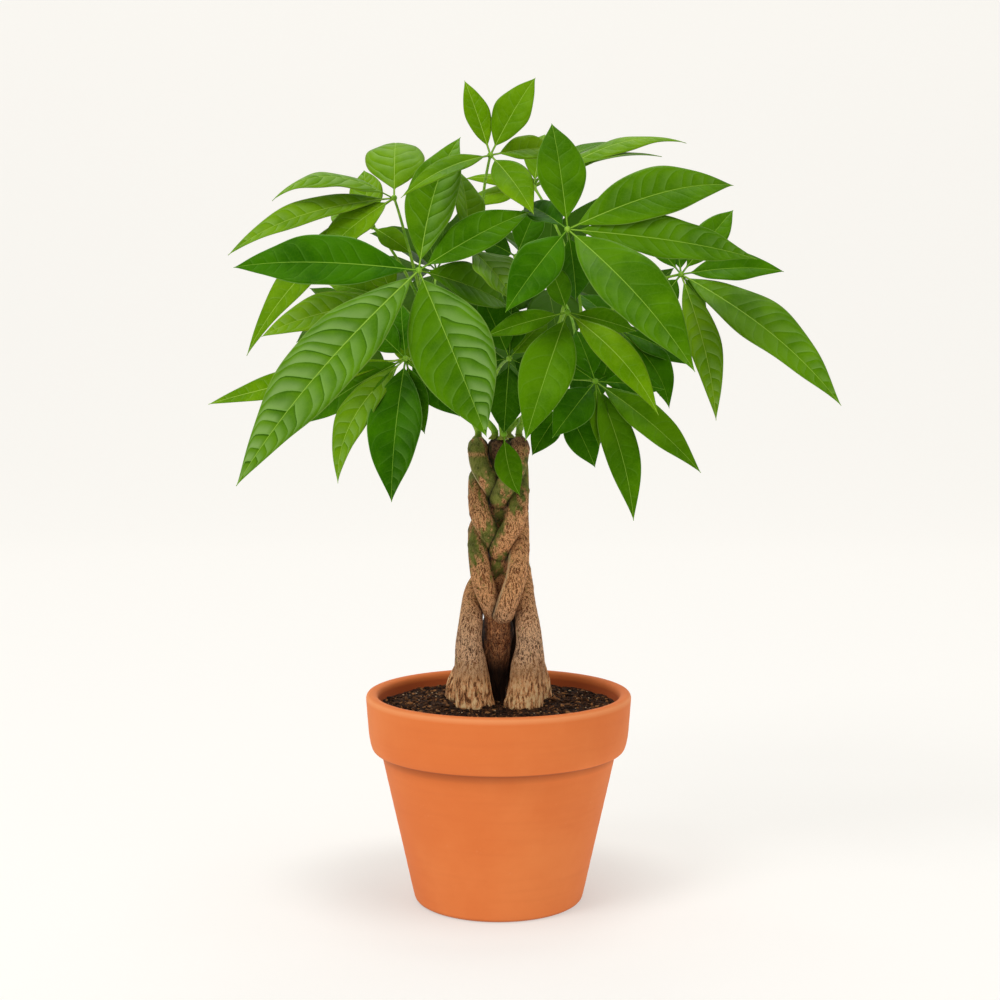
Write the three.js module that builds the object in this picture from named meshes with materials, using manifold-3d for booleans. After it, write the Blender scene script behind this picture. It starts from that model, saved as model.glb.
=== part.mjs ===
// Potted money tree: five braided trunks in a terracotta pot of soil, with an
// open crown of hand-shaped leaves.
// Millimetres, +Z up, the front of the tree faces -Y.
// The origin is the middle of the pot's foot.

import * as THREE from 'three';
import { mergeVertices } from 'three/addons/utils/BufferGeometryUtils.js';
import Module from 'manifold-3d';

const wasm = await Module();
wasm.setup();

// Driving dimensions

const rimRadius = 100;
const rimHeight = 158;
const bandBottom = 114.5;
const wallRadiusUnderBand = 88.6;
const footRadius = 64;
const wallThickness = 9.5;
const floorThickness = 11;
const drainHoleRadius = 5;
const drainHoleRing = 26;

const soilEdge = 148;
const soilMiddle = 150.5;
const gap = 0.3;

const trunkTop = 348;
const trunkFoot = 122;
const braidHalfWidth = 15.3;
const braidDepth = 15;
const braidShift = 8;
const braidLinger = 1.5;
const strandRadius = 7.6;

const bladeThickness = 0.8;
const bladeFold = 0.22;
const archedFold = -0.2;
const petioleRadius = 1.1;
const hubRadius = 3.2;

// Colours

const clay = new THREE.MeshStandardMaterial({ color: 0xe57e43, roughness: 0.75, metalness: 0 });
const earth = new THREE.MeshStandardMaterial({ color: 0x33231a, roughness: 1, metalness: 0 });
const bark = new THREE.MeshStandardMaterial({ color: 0x9c7a55, roughness: 0.85, metalness: 0 });
const foliage = new THREE.MeshStandardMaterial({ color: 0x3f8f1c, roughness: 0.4, metalness: 0 });

// Small helpers for closed bodies

function toSolid(geometry) {
  const plain = geometry.clone();
  plain.deleteAttribute('normal');
  plain.deleteAttribute('uv');
  const merged = mergeVertices(plain, 1e-5);
  return new wasm.Manifold(new wasm.Mesh({
    numProp: 3,
    vertProperties: new Float32Array(merged.attributes.position.array),
    triVerts: new Uint32Array(merged.index.array),
  }));
}

function toMesh(name, solid, material) {
  const { vertProperties, triVerts, numProp } = solid.getMesh();
  const points = [];
  for (let i = 0; i < vertProperties.length; i += numProp) {
    points.push(vertProperties[i], vertProperties[i + 1], vertProperties[i + 2]);
  }
  const geometry = new THREE.BufferGeometry();
  geometry.setAttribute('position', new THREE.Float32BufferAttribute(points, 3));
  geometry.setIndex(Array.from(triVerts));
  geometry.computeVertexNormals();
  const mesh = new THREE.Mesh(geometry, material);
  mesh.name = name;
  return mesh;
}

function ease(value) {
  const t = THREE.MathUtils.clamp(value, 0, 1);
  return t * t * (3 - 2 * t);
}

// A round rod along a list of centre points, with a radius at each of them; its
// first and last faces are level where asked
function taperedRod(centres, radii, sides, levelFoot = false, levelTop = false) {
  const steps = centres.length - 1;
  const rod = new THREE.CylinderGeometry(1, 1, 1, sides, steps);
  const tangents = centres.map((centre, i) => {
    const before = centres[Math.max(i - 1, 0)];
    const after = centres[Math.min(i + 1, steps)];
    return after.clone().sub(before).normalize();
  });
  if (levelFoot) {
    tangents[0].set(0, 0, 1);
  }
  if (levelTop) {
    tangents[steps].set(0, 0, 1);
  }
  const across = [new THREE.Vector3(1, 0.01, 0.02)];
  for (let i = 0; i <= steps; i += 1) {
    const side = (across[i - 1] ?? across[0]).clone();
    side.addScaledVector(tangents[i], -side.dot(tangents[i])).normalize();
    across[i] = side;
  }
  const place = rod.attributes.position;
  for (let i = 0; i < place.count; i += 1) {
    const step = Math.round((place.getY(i) + 0.5) * steps);
    const side = across[step];
    const other = tangents[step].clone().cross(side);
    const point = centres[step].clone();
    point.addScaledVector(side, place.getX(i) * radii[step]);
    point.addScaledVector(other, -place.getZ(i) * radii[step]);
    place.setXYZ(i, point.x, point.y, point.z);
  }
  return toSolid(rod);
}

// Pot: a turned body with a broad band under a rounded lip, and three small
// drain holes round the middle of the floor

function pot() {
  const inner = rimRadius - wallThickness;
  const profile = [
    [0, 0],
    [footRadius - 5, 0],
    [footRadius - 1.5, 1.5],
    [footRadius + 0.6, 5],
    [wallRadiusUnderBand, bandBottom],
    [93.2, bandBottom + 0.7],
    [96.2, bandBottom + 4.5],
    [97.2, bandBottom + 11.5],
    [rimRadius, rimHeight - 5],
    [rimRadius - 0.6, rimHeight - 1.8],
    [rimRadius - 3, rimHeight],
    [inner + 3.6, rimHeight],
    [inner + 1, rimHeight - 1.4],
    [inner, rimHeight - 5],
    [inner - 3, bandBottom + 7],
    [inner - 11, bandBottom - 5],
    [footRadius - 9, floorThickness + 4],
    [footRadius - 13, floorThickness],
    [0, floorThickness],
  ].map(([x, y]) => new THREE.Vector2(x, y));
  const turned = new THREE.LatheGeometry(profile, 36);
  turned.rotateX(Math.PI / 2);
  let body = toSolid(turned);
  for (let i = 0; i < 3; i += 1) {
    const hole = new THREE.CylinderGeometry(drainHoleRadius, drainHoleRadius, 40, 10);
    hole.rotateX(Math.PI / 2);
    const angle = (i * 2 * Math.PI) / 3 + Math.PI / 6;
    hole.translate(drainHoleRing * Math.cos(angle), drainHoleRing * Math.sin(angle), 0);
    body = body.subtract(toSolid(hole));
  }
  return body;
}

// Soil: fills the pot with a low uneven mound, with a plain hole for each trunk

function soil(trunks) {
  const inner = rimRadius - wallThickness;
  const profile = [
    [0, floorThickness + gap],
    [footRadius - 13.4, floorThickness + gap],
    [footRadius - 9.5, floorThickness + 4.4],
    [inner - 11.5, bandBottom - 5],
    [inner - 3.5, bandBottom + 7],
    [inner - 1.1, soilEdge - 2],
    [inner - 1.9, soilEdge],
    [70, soilEdge + 1.3],
    [48, soilMiddle],
    [0, soilMiddle],
  ].map(([x, y]) => new THREE.Vector2(x, y));
  const turned = new THREE.LatheGeometry(profile, 36);
  turned.rotateX(Math.PI / 2);
  const place = turned.attributes.position;
  for (let i = 0; i < place.count; i += 1) {
    const x = place.getX(i);
    const y = place.getY(i);
    const z = place.getZ(i);
    if (z > soilEdge - 1) {
      place.setZ(i, z + 0.8 * Math.sin(x * 0.19 + 1) * Math.cos(y * 0.23));
    }
  }
  let body = toSolid(turned);
  for (const trunk of trunks) {
    body = body.subtract(trunk);
  }
  return body;
}

// Trunks: five strands in a flat braid. Each runs along a figure of eight as it
// rises, a fifth of a turn behind its neighbour, lingers in the middle and at
// the edges, and spreads to its own foot

const crossings = [
  [105, -1.6],
  [166, -0.5],
  [194, 0],
  [259, 1],
  [298, 2],
  [334, 3],
  [374, 4],
];

// Share of the figure of eight done after so many of the five crossings
const pace = [
  [0, 0],
  [1.6, 0.25],
  [3, 0.5],
  [3.6, 0.75],
  [5, 1],
];

const feet = [
  { name: 'trunk_back_left', x: -26, y: 17, girth: 15, parts: 214, over: 61, bulge: 0 },
  { name: 'trunk_back_right', x: 25, y: 17, girth: 15, parts: 214, over: 61, bulge: 0 },
  { name: 'trunk_front_right', x: 18.8, y: -17, girth: 14.8, parts: 246, over: 76, bulge: 4.5 },
  { name: 'trunk_centre', x: 0, y: 1, girth: 6, parts: 217, over: 20, bulge: 0 },
  { name: 'trunk_front_left', x: -17.6, y: -17, girth: 14.6, parts: 246, over: 76, bulge: -4.5 },
];

function between(rows, value) {
  let i = 1;
  while (i < rows.length - 1 && value > rows[i][0]) {
    i += 1;
  }
  const [a, from] = rows[i - 1];
  const [b, to] = rows[i];
  return from + ((to - from) * (value - a)) / (b - a);
}

function strandPoint(index, z) {
  const crossed = THREE.MathUtils.euclideanModulo(index - between(crossings, z), 5);
  const lean = 2 * Math.PI * between(pace, crossed);
  const foot = feet[index];
  const spread = ease((foot.parts - z) / foot.over);
  const sway = Math.sin(lean);
  const x = braidHalfWidth * Math.sign(sway) * ease(Math.abs(sway)) ** braidLinger;
  const y = braidDepth * Math.sin(2 * lean) + braidShift * Math.cos(lean);
  const bulge = foot.bulge * Math.sin(Math.PI * THREE.MathUtils.clamp((262 - z) / 112, 0, 1));
  return new THREE.Vector3(
    x * (1 - spread) + foot.x * spread + bulge,
    y * (1 - spread) + foot.y * spread,
    z,
  );
}

function strandRadiusAt(index, point) {
  const hidden = ease((point.y + 4) / 10) * ease((13 - Math.abs(point.x)) / 6);
  const braided = ease((point.z - 205) / 20);
  const thin = 2.5 * hidden * braided;
  const foot = feet[index];
  let radius = strandRadius - thin + 0.8 * ease((300 - point.z) / 90);
  if (index === 3) {
    radius += 1.6 * ease((212 - point.z) / 10) - 4.6 * ease((200 - point.z) / 50);
  } else {
    const [high, over] = index < 2 ? [218, 62] : [236, 90];
    radius += (foot.girth - strandRadius - 0.8) * ease((high - point.z) / over);
  }
  return radius;
}

function trunk(index, extra) {
  const centres = [];
  const radii = [];
  const heights = [];
  for (let z = trunkFoot; z < 150; z += 14) {
    heights.push(z);
  }
  for (let z = 154; z < trunkTop - 5; z += 9) {
    heights.push(z);
  }
  heights.push(trunkTop);
  heights[0] -= extra;
  heights[heights.length - 1] += extra;
  for (const z of heights) {
    const centre = strandPoint(index, z);
    centres.push(centre);
    const below = 1 - 0.35 * ease((150 - z) / 30);
    radii.push((strandRadiusAt(index, centre) + extra) * below);
  }
  return taperedRod(centres, radii, 8, true, true);
}

const trunkSolids = [];
const trunkRooms = [];
for (let i = 0; i < feet.length; i += 1) {
  let body = trunk(i, 0);
  for (const room of trunkRooms) {
    body = body.subtract(room);
  }
  const pieces = body.decompose().sort((a, b) => b.volume() - a.volume());
  trunkSolids.push(pieces[0]);
  trunkRooms.push(trunk(i, gap));
}

// Leaves. The crown was laid out on the upright plane through the trunks, as
// seen from a point 1.23 m in front, and each point then moved along its line
// of sight to its own depth: a row holds x, z, depth

const station = new THREE.Vector3(1, -1232, 397);

function seen(x, z, depth) {
  const reach = (depth - station.y) / -station.y;
  return new THREE.Vector3(
    station.x + (x - station.x) * reach,
    depth,
    station.z + (z - station.z) * reach,
  );
}

// Half width along a leaflet: a slim stalk, then a long oval with a drawn-out tip
function halfWidth(along, length, width) {
  const stalk = Math.min(7 / length, 0.12);
  const u = THREE.MathUtils.clamp((along - stalk) / (1 - stalk), 0, 1);
  const oval = (u ** 1.05) * ((1 - u) ** 1.25) * 4.87;
  return Math.max(0.9 * (1 - 0.5 * along), (width / 2) * oval);
}

// One leaflet: the middle line runs from hub to tip with a lift towards the
// face and a bow to the side; both halves rise from the middle line by the fold
function leaflet(hub, tip, width, face, lift, bow, fold) {
  const chord = tip.clone().sub(hub);
  const length = chord.length();
  const ahead = chord.clone().normalize();
  const up = face.clone().addScaledVector(ahead, -face.dot(ahead)).normalize();
  const side = up.clone().cross(ahead);
  const stations = length > 112 ? [0, 0.06, 0.2, 0.4, 0.6, 0.82, 1] : [0, 0.1, 0.35, 0.65, 1];
  const rows = stations.length;
  const sheet = new THREE.PlaneGeometry(1, 1, 2, rows - 1);
  const flat = sheet.attributes.position;
  const points = [];
  for (const layer of [0.5, -0.5]) {
    for (let i = 0; i < flat.count; i += 1) {
      const s = stations[Math.floor(i / 3)];
      const q = flat.getX(i) * 2;
      const arch = 4 * s * (1 - s) * (0.75 + 0.5 * s);
      const half = halfWidth(s, length, width);
      const point = hub.clone().addScaledVector(chord, s);
      point.addScaledVector(up, arch * lift * length);
      point.addScaledVector(side, arch * bow + q * half);
      point.addScaledVector(up, Math.abs(q) * half * fold + layer * bladeThickness);
      points.push(point.x, point.y, point.z);
    }
  }
  const count = flat.count;
  const index = Array.from(sheet.index.array);
  const faces = [];
  for (let i = 0; i < index.length; i += 3) {
    const [a, b, c] = [index[i], index[i + 1], index[i + 2]];
    faces.push(a, b, c, a + count, c + count, b + count);
  }
  const rim = [];
  for (let r = 0; r < rows; r += 1) {
    rim.push(r * 3);
  }
  rim.push((rows - 1) * 3 + 1);
  for (let r = rows - 1; r >= 0; r -= 1) {
    rim.push(r * 3 + 2);
  }
  rim.push(1);
  for (let i = 0; i < rim.length; i += 1) {
    const a = rim[i];
    const b = rim[(i + 1) % rim.length];
    faces.push(a, a + count, b, b, a + count, b + count);
  }
  const blade = new THREE.BufferGeometry();
  blade.setAttribute('position', new THREE.Float32BufferAttribute(points, 3));
  blade.setIndex(faces);
  return toSolid(blade);
}

// Each leafy stem: the shoot that stands on its trunk, then its leaves. A leaf
// has the place on the shoot where its stalk leaves (0 foot, 1 end), its hub,
// the way it faces, and a row for each leaflet: x, z, depth, width, lift, bow,
// and for a few, arched back with their edges bent down, the way that they face
const leafyStems = [
  {
    name: 'leafy_stem_front_left',
    trunk: 3,
    shoot: [[-20, 373, -14], [-38, 400, -22], [-48, 425, -28]],
    leaves: [
      {
        name: 'broad front left', from: 0.9, hub: [-59, 473, -105], face: [-0.1, -0.9, 0.42],
        leaflets: [
          [-196, 475, -90, 39, 0.07, 0], [-196, 313, -165, 48, 0.08, 0],
          [-9, 350, -118, 56, 0.08, 0], [-28, 570, -60, 36, 0.06, 4],
          [24, 516, -81, 30, 0.06, 0], [7, 446, -45, 32, 0.06, 0],
        ],
      },
      {
        name: 'low left', from: 0.6, hub: [-69, 408, -40], face: [-0.2, -0.9, 0.4],
        leaflets: [
          [-80, 301, -70, 40, 0.07, 0], [-120, 315, -60, 25, 0.07, -10],
          [-146, 359, -30, 30, 0.07, 0], [-216, 374, 10, 22, 0.08, 5],
          [-29, 365, -45, 24, 0.05, 0], [-55, 352, -50, 20, 0.05, 0],
          [-101, 438, -20, 24, 0.05, 0], [-72, 448, -20, 18, 0.05, 0],
        ],
      },
    ],
  },
  {
    name: 'leafy_stem_back_left',
    trunk: 2,
    shoot: [[-28, 376, 18], [-46, 414, 30], [-55, 446, 34]],
    leaves: [
      {
        name: 'upper left', from: 1, hub: [-77, 526, 0], face: [-0.1, -0.75, 0.66],
        leaflets: [
          [-75, 564, 70, 45, 0.17, 0, 0, -0.3, 1],
          [-167, 524, -10, 26, 0.2, 0, 0, -0.5, 0.85],
          [-200, 484, -10, 26, 0.1, 0], [-187, 410, -25, 30, 0.07, -4],
          [-133, 479, -20, 30, 0.07, 0],
        ],
      },
      {
        name: 'behind upper left', from: 0.85, hub: [-93, 505, 45], face: [-0.2, -0.9, 0.4],
        leaflets: [
          [-99, 546, 70, 27, 0.06, 0], [-64, 485, 25, 17, 0.06, 0],
          [-124, 514, 80, 22, 0.06, 0],
        ],
      },
      {
        name: 'middle left', from: 0.7, hub: [-77, 451, 35], face: [-0.2, -0.85, 0.5],
        leaflets: [
          [-176, 424, 40, 32, 0.08, 0], [-125, 462, 60, 22, 0.06, 0],
          [-91, 484, 60, 22, 0.06, 0], [-58, 398, 60, 28, 0.06, 0],
        ],
      },
      {
        name: 'rear left', from: 0.55, hub: [-46, 473, 110], face: [-0.2, 0.7, 0.7],
        leaflets: [
          [-95, 500, 150, 34, 0.08, 0], [-60, 530, 130, 30, 0.06, 0],
          [-10, 520, 150, 30, 0.06, 0], [-110, 455, 160, 36, 0.1, 0],
          [-60, 420, 170, 40, 0.1, 0], [-15, 440, 180, 34, 0.1, 0],
        ],
      },
      {
        name: 'rear far left', from: 0.4, hub: [-103, 428, 80], face: [-0.5, 0.6, 0.6],
        leaflets: [
          [-150, 420, 120, 28, 0.08, 0], [-125, 385, 110, 32, 0.1, 0],
          [-85, 375, 110, 28, 0.1, 0], [-140, 460, 110, 26, 0.06, 0],
          [-88, 470, 120, 24, 0.06, 0],
        ],
      },
    ],
  },
  {
    name: 'leafy_stem_centre',
    trunk: 1,
    shoot: [[-4, 390, 0], [-6, 430, 4], [-12, 470, 6]],
    leaves: [
      {
        name: 'crown top', from: 0.95, hub: [-6, 557, -60], face: [0, -0.85, 0.5],
        leaflets: [
          [-25, 611, -55, 18, 0.05, 0], [27, 613, -60, 27, 0.06, 0],
          [45, 561, -40, 22, 0.06, 0], [26, 514, -95, 26, 0.08, 0],
          [-72, 526, -125, 16, 0.08, 0],
        ],
      },
      {
        name: 'inner middle', from: 0.45, hub: [8, 408, -35], face: [0, -0.9, 0.4],
        leaflets: [
          [4, 352, -45, 28, 0.07, 0], [-25, 400, -20, 22, 0.06, 0],
          [-14, 456, -40, 28, 0.06, 0], [10, 450, -30, 24, 0.06, 0],
          [37, 438, -30, 24, 0.06, 0], [38, 393, -40, 20, 0.06, 0],
        ],
      },
      {
        name: 'behind broad', from: 0.98, hub: [-23, 491, -82], face: [0.65, -0.65, 0.3],
        leaflets: [[12, 448, -98, 42, 0.06, 0], [-30, 546, -50, 30, 0.06, 0]],
      },
      {
        name: 'middle', from: 0.6, hub: [13, 483, -5], face: [0, -0.9, 0.4],
        leaflets: [[-21, 498, -25, 24, 0.06, 0], [30, 522, 10, 24, 0.06, 0]],
      },
      {
        name: 'on the trunk', from: 0.1, hub: [4, 352, -29], face: [0, -1, 0.2],
        leaflets: [[16, 306, -38, 20, 0.08, -3]],
      },
    ],
  },
  {
    name: 'leafy_stem_front_right',
    trunk: 0,
    shoot: [[24, 376, -16], [36, 404, -24], [44, 430, -30]],
    leaves: [
      {
        name: 'broad front right', from: 1, hub: [51, 503, -95], face: [0.1, -0.88, 0.45],
        leaflets: [
          [39, 580, -70, 34, 0.06, 0], [173, 535, -60, 39, 0.08, 3],
          [191, 481, -75, 33, 0.08, -3], [146, 398, -150, 46, 0.08, 0],
          [5, 442, -120, 32, 0.08, 0], [57, 451, -72, 26, 0.06, 0],
          [19, 521, -55, 24, 0.05, 0],
        ],
      },
      {
        name: 'low front', from: 0.8, hub: [51, 442, -85], face: [0, -0.92, 0.35],
        leaflets: [
          [-10, 424, -90, 17, 0.07, 0], [20, 347, -120, 37, 0.08, 0],
          [119, 366, -120, 23, 0.08, 4], [102, 428, -80, 18, 0.06, 0],
          [36, 481, -100, 18, 0.05, 0],
        ],
      },
      {
        name: 'low right', from: 0.5, hub: [72, 391, -45], face: [0.1, -0.9, 0.4],
        leaflets: [
          [151, 323, -80, 25, 0.08, 0], [101, 287, -75, 26, 0.08, 2],
          [40, 349, -70, 28, 0.06, 0], [123, 385, -40, 18, 0.06, 0],
          [57, 429, -30, 18, 0.05, 0], [46, 407, -40, 18, 0.05, 0],
          [75, 342, -65, 14, 0.05, 0],
        ],
      },
    ],
  },
  {
    name: 'leafy_stem_back_right',
    trunk: 4,
    shoot: [[40, 380, 16], [60, 410, 26], [74, 432, 30]],
    leaves: [
      {
        name: 'far right', from: 1, hub: [135, 470, 10], face: [0.2, -0.85, 0.5],
        leaflets: [
          [211, 472, 0, 25, 0.08, 0], [255, 373, -60, 42, 0.08, 0],
          [162, 362, -30, 26, 0.08, 0], [173, 517, 40, 24, 0.06, 0],
          [101, 503, 30, 20, 0.06, 0], [128, 499, 40, 18, 0.06, 0],
          [109, 436, 0, 22, 0.06, 0], [154, 442, 20, 12, 0.05, 0],
        ],
      },
      {
        name: 'behind crown top', from: 0.65, hub: [26, 534, 45], face: [0, -0.25, 1],
        leaflets: [
          [138, 566, 80, 24, 0.12, 0, 0, -0.5, 0.85], [120, 556, 60, 24, 0.08, 0],
          [97, 562, 110, 16, 0.12, 0], [-25, 540, 50, 12, 0.08, 0, 0, -0.8, 0.6],
          [-27, 521, 60, 19, 0.06, 0, 0, -0.8, 0.6], [34, 572, 90, 24, 0.08, 0],
          [20, 543, 38, 6, 0.1, 0], [33, 542, 40, 6, 0.1, 0], [19, 528, 38, 6, 0.1, 0],
        ],
      },
      {
        name: 'middle right', from: 0.75, hub: [89, 429, 30], face: [0.1, -0.8, 0.6],
        leaflets: [
          [142, 403, 20, 27, 0.07, 0], [127, 371, 0, 21, 0.07, 0],
          [100, 465, 60, 22, 0.06, 0], [60, 455, 60, 22, 0.06, 0],
          [75, 385, 20, 24, 0.06, 0],
        ],
      },
      {
        name: 'inner right', from: 0.45, hub: [49, 374, -10], face: [0, -0.9, 0.45],
        leaflets: [
          [72, 327, -20, 26, 0.08, 0], [25, 336, -15, 22, 0.08, 0],
          [80, 395, 20, 20, 0.06, 0], [15, 385, 20, 20, 0.06, 0],
        ],
      },
      {
        name: 'rear middle', from: 0.55, hub: [36, 463, 120], face: [0.1, 0.7, 0.7],
        leaflets: [
          [75, 527, 150, 30, 0.06, 0], [40, 525, 130, 28, 0.06, 0],
          [0, 500, 170, 32, 0.08, 0], [90, 440, 170, 36, 0.1, 0],
          [45, 405, 180, 38, 0.1, 0], [-2, 440, 165, 32, 0.1, 0],
        ],
      },
      {
        name: 'low rear', from: 0.6, hub: [-8, 417, 140], face: [0, 0.8, 0.6],
        leaflets: [
          [-55, 400, 190, 34, 0.1, 0], [-20, 370, 180, 36, 0.1, 0],
          [30, 380, 190, 34, 0.1, 0], [40, 430, 190, 30, 0.08, 0],
          [-45, 445, 180, 30, 0.08, 0],
        ],
      },
      {
        name: 'rear right', from: 0.65, hub: [93, 437, 90], face: [0.5, 0.6, 0.6],
        leaflets: [
          [135, 425, 130, 30, 0.08, 0], [120, 380, 120, 30, 0.1, 0],
          [85, 375, 140, 30, 0.1, 0], [130, 475, 120, 26, 0.06, 0],
          [70, 480, 120, 26, 0.06, 0],
        ],
      },
    ],
  },
];

// The leaf stalk leaves the shoot and bends over to the hub
function petiole(start, hub, shootWay) {
  const reach = hub.distanceTo(start);
  const first = start.clone().addScaledVector(shootWay, reach * 0.35);
  const second = hub.clone().sub(first).multiplyScalar(0.6).add(first);
  second.z += reach * 0.06;
  const curve = new THREE.CubicBezierCurve3(start, first, second, hub);
  const centres = curve.getPoints(5);
  const radii = centres.map((point, i) => petioleRadius * (1.25 - 0.08 * i));
  return taperedRod(centres, radii, 5);
}

function leafyPieces(stem) {
  const top = strandPoint(stem.trunk, trunkTop + gap);
  const curve = new THREE.CatmullRomCurve3([
    top,
    new THREE.Vector3(top.x, top.y, top.z + 6),
    ...stem.shoot.map(([x, z, depth]) => seen(x, z, depth)),
  ]);
  const centres = curve.getPoints(8);
  const radii = centres.map((point, i) => 4.2 - 0.34 * i);
  const pieces = [{ name: 'shoot', solid: taperedRod(centres, radii, 7, true) }];
  for (const leaf of stem.leaves) {
    const hub = seen(...leaf.hub);
    const start = curve.getPoint(leaf.from);
    const way = curve.getTangent(leaf.from);
    pieces.push({ name: `${leaf.name} stalk`, solid: petiole(start, hub, way) });
    const knot = new THREE.OctahedronGeometry(hubRadius);
    knot.translate(hub.x, hub.y, hub.z);
    pieces.push({ name: `${leaf.name} hub`, solid: toSolid(knot) });
    const face = new THREE.Vector3(...leaf.face).normalize();
    leaf.leaflets.forEach(([x, z, depth, width, lift, bow, ...own], i) => {
      const tip = seen(x, z, depth);
      const up = own.length ? new THREE.Vector3(...own).normalize() : face;
      const fold = own.length ? archedFold : bladeFold;
      const solid = leaflet(hub, tip, width, up, lift, bow, fold);
      pieces.push({ name: `${leaf.name} ${i + 1}`, solid });
    });
  }
  return pieces;
}

const group = new THREE.Group();
group.name = 'potted_money_tree';
group.add(toMesh('pot', pot(), clay));
group.add(toMesh('soil', soil(trunkRooms), earth));
feet.forEach((foot, i) => {
  group.add(toMesh(foot.name, trunkSolids[i], bark));
});
for (const stem of leafyStems) {
  const [shoot, ...others] = leafyPieces(stem);
  let body = shoot.solid;
  for (const { solid } of others) {
    body = body.add(solid);
  }
  group.add(toMesh(stem.name, body, foliage));
}

export default group;
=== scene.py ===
import math
import bpy
import numpy as np
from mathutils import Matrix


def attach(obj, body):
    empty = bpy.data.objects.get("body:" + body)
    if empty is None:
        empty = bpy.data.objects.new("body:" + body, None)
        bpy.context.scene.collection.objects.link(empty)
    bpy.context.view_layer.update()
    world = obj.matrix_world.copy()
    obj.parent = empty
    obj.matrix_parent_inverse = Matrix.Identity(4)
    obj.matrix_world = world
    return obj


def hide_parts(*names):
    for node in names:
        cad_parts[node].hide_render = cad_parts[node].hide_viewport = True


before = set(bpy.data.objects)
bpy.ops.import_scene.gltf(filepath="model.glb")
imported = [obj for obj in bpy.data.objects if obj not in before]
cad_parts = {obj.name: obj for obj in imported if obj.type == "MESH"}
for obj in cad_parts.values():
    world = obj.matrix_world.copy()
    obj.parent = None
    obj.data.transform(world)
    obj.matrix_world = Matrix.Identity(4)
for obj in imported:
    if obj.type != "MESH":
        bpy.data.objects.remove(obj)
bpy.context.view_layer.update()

scene = bpy.context.scene
mm = 0.001


def ease(value):
    # smooth step: 0 up to value 0, 1 from value 1
    t = np.clip(value, 0.0, 1.0)
    return t * t * (3.0 - 2.0 * t)


def bell(value, middle, width, power=2):
    # 1 at the middle, falling off over the width
    return np.exp(-((value - middle) / width) ** power)


def unit(vectors):
    return vectors / np.maximum(np.linalg.norm(vectors, axis=-1, keepdims=True), 1e-9)


def turns(around):
    # that many equal steps round a circle
    return np.linspace(0, 2 * np.pi, around, endpoint=False)


def ringGrid(radii, heights, around):
    # one ring of points round the z axis for each radius and height
    turn = turns(around)
    radii, heights = (np.asarray(values, dtype=float)[:, None] for values in (radii, heights))
    return np.stack([radii * np.cos(turn), radii * np.sin(turn), heights + 0 * turn], axis=-1)


def gridFaces(rows, columns, start=0, wrap=False, flip=False):
    # quads of a grid of rows x columns points; wrap joins the last column to the first
    r = np.arange(rows - 1)[:, None]
    c = np.arange(columns if wrap else columns - 1)[None, :]
    n = (c + 1) % columns
    quads = np.stack([r * columns + c, r * columns + n, (r + 1) * columns + n, (r + 1) * columns + c], axis=-1)
    quads = quads.reshape(-1, 4) + start
    return quads[:, ::-1] if flip else quads


def closedFaces(rows, around, start=0, flip=False):
    # a wrapped grid, and a fan from each of the two points that follow it, which close its ends
    count = rows * around
    c = np.arange(around)
    n = (c + 1) % around
    fans = np.vstack([np.stack([np.full(around, count), n, c], axis=1),
                      np.stack([np.full(around, count + 1), c + count - around, n + count - around], axis=1)])
    if flip:
        fans = fans[:, [0, 2, 1]]
    return [gridFaces(rows, around, start, wrap=True, flip=flip), fans + start]


def makePiece(name, points, faces, material, smooth=True, values=None):
    # one mesh object from whole arrays; points in millimetres
    mesh = bpy.data.meshes.new(name)
    mesh.vertices.add(len(points))
    mesh.vertices.foreach_set("co", (np.asarray(points) * mm).astype(np.float32).ravel())
    loops = np.concatenate([f.ravel() for f in faces])
    sizes = np.concatenate([np.full(len(f), f.shape[1]) for f in faces])
    mesh.loops.add(len(loops))
    mesh.loops.foreach_set("vertex_index", loops.astype(np.int32))
    mesh.polygons.add(len(sizes))
    starts = np.concatenate([[0], np.cumsum(sizes)[:-1]])
    mesh.polygons.foreach_set("loop_start", starts.astype(np.int32))
    mesh.polygons.foreach_set("use_smooth", np.full(len(sizes), smooth))
    mesh.update(calc_edges=True)
    mesh.validate()
    for key, value in (values or {}).items():
        layer = mesh.attributes.new(key, "FLOAT", "POINT")
        layer.data.foreach_set("value", np.asarray(value, dtype=np.float32).ravel())
    mesh.materials.append(material)
    piece = bpy.data.objects.new(name, mesh)
    scene.collection.objects.link(piece)
    return piece


def pieceName(kind, node, start):
    # for example trunkBackLeft for the node trunk_back_left
    return kind + node.replace(start, "").title().replace("_", "")


def smoothNoise(points, size, seed):
    # sum of a few seeded plane waves of about that size, between about -1 and 1
    rng = np.random.default_rng(seed)
    total = np.zeros(points.shape[:-1])
    for _ in range(7):
        way = unit(rng.normal(size=3))
        total += np.sin(points @ way * (2 * np.pi / size) * rng.uniform(0.7, 1.4) + rng.uniform(0, 6.28))
    return total / 3.2


def curveThrough(points, count):
    # centripetal curve through the points, the same as the solid model's
    p = np.asarray(points, dtype=float)
    p = np.vstack([2 * p[0] - p[1], p, 2 * p[-1] - p[-2]])
    spans = len(p) - 3
    out = []
    for t in np.linspace(0, spans, count):
        i = min(int(t), spans - 1)
        w = t - i
        p0, p1, p2, p3 = p[i:i + 4]
        d0, d1, d2 = (max(np.linalg.norm(b - a) ** 0.5, 1e-4) for a, b in ((p0, p1), (p1, p2), (p2, p3)))
        t1 = ((p1 - p0) / d0 - (p2 - p0) / (d0 + d1) + (p2 - p1) / d1) * d1
        t2 = ((p2 - p1) / d1 - (p3 - p1) / (d1 + d2) + (p3 - p2) / d2) * d1
        a = 2 * p1 - 2 * p2 + t1 + t2
        b = -3 * p1 + 3 * p2 - 2 * t1 - t2
        out.append(a * w ** 3 + b * w ** 2 + t1 * w + p1)
    return np.array(out)


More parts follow.
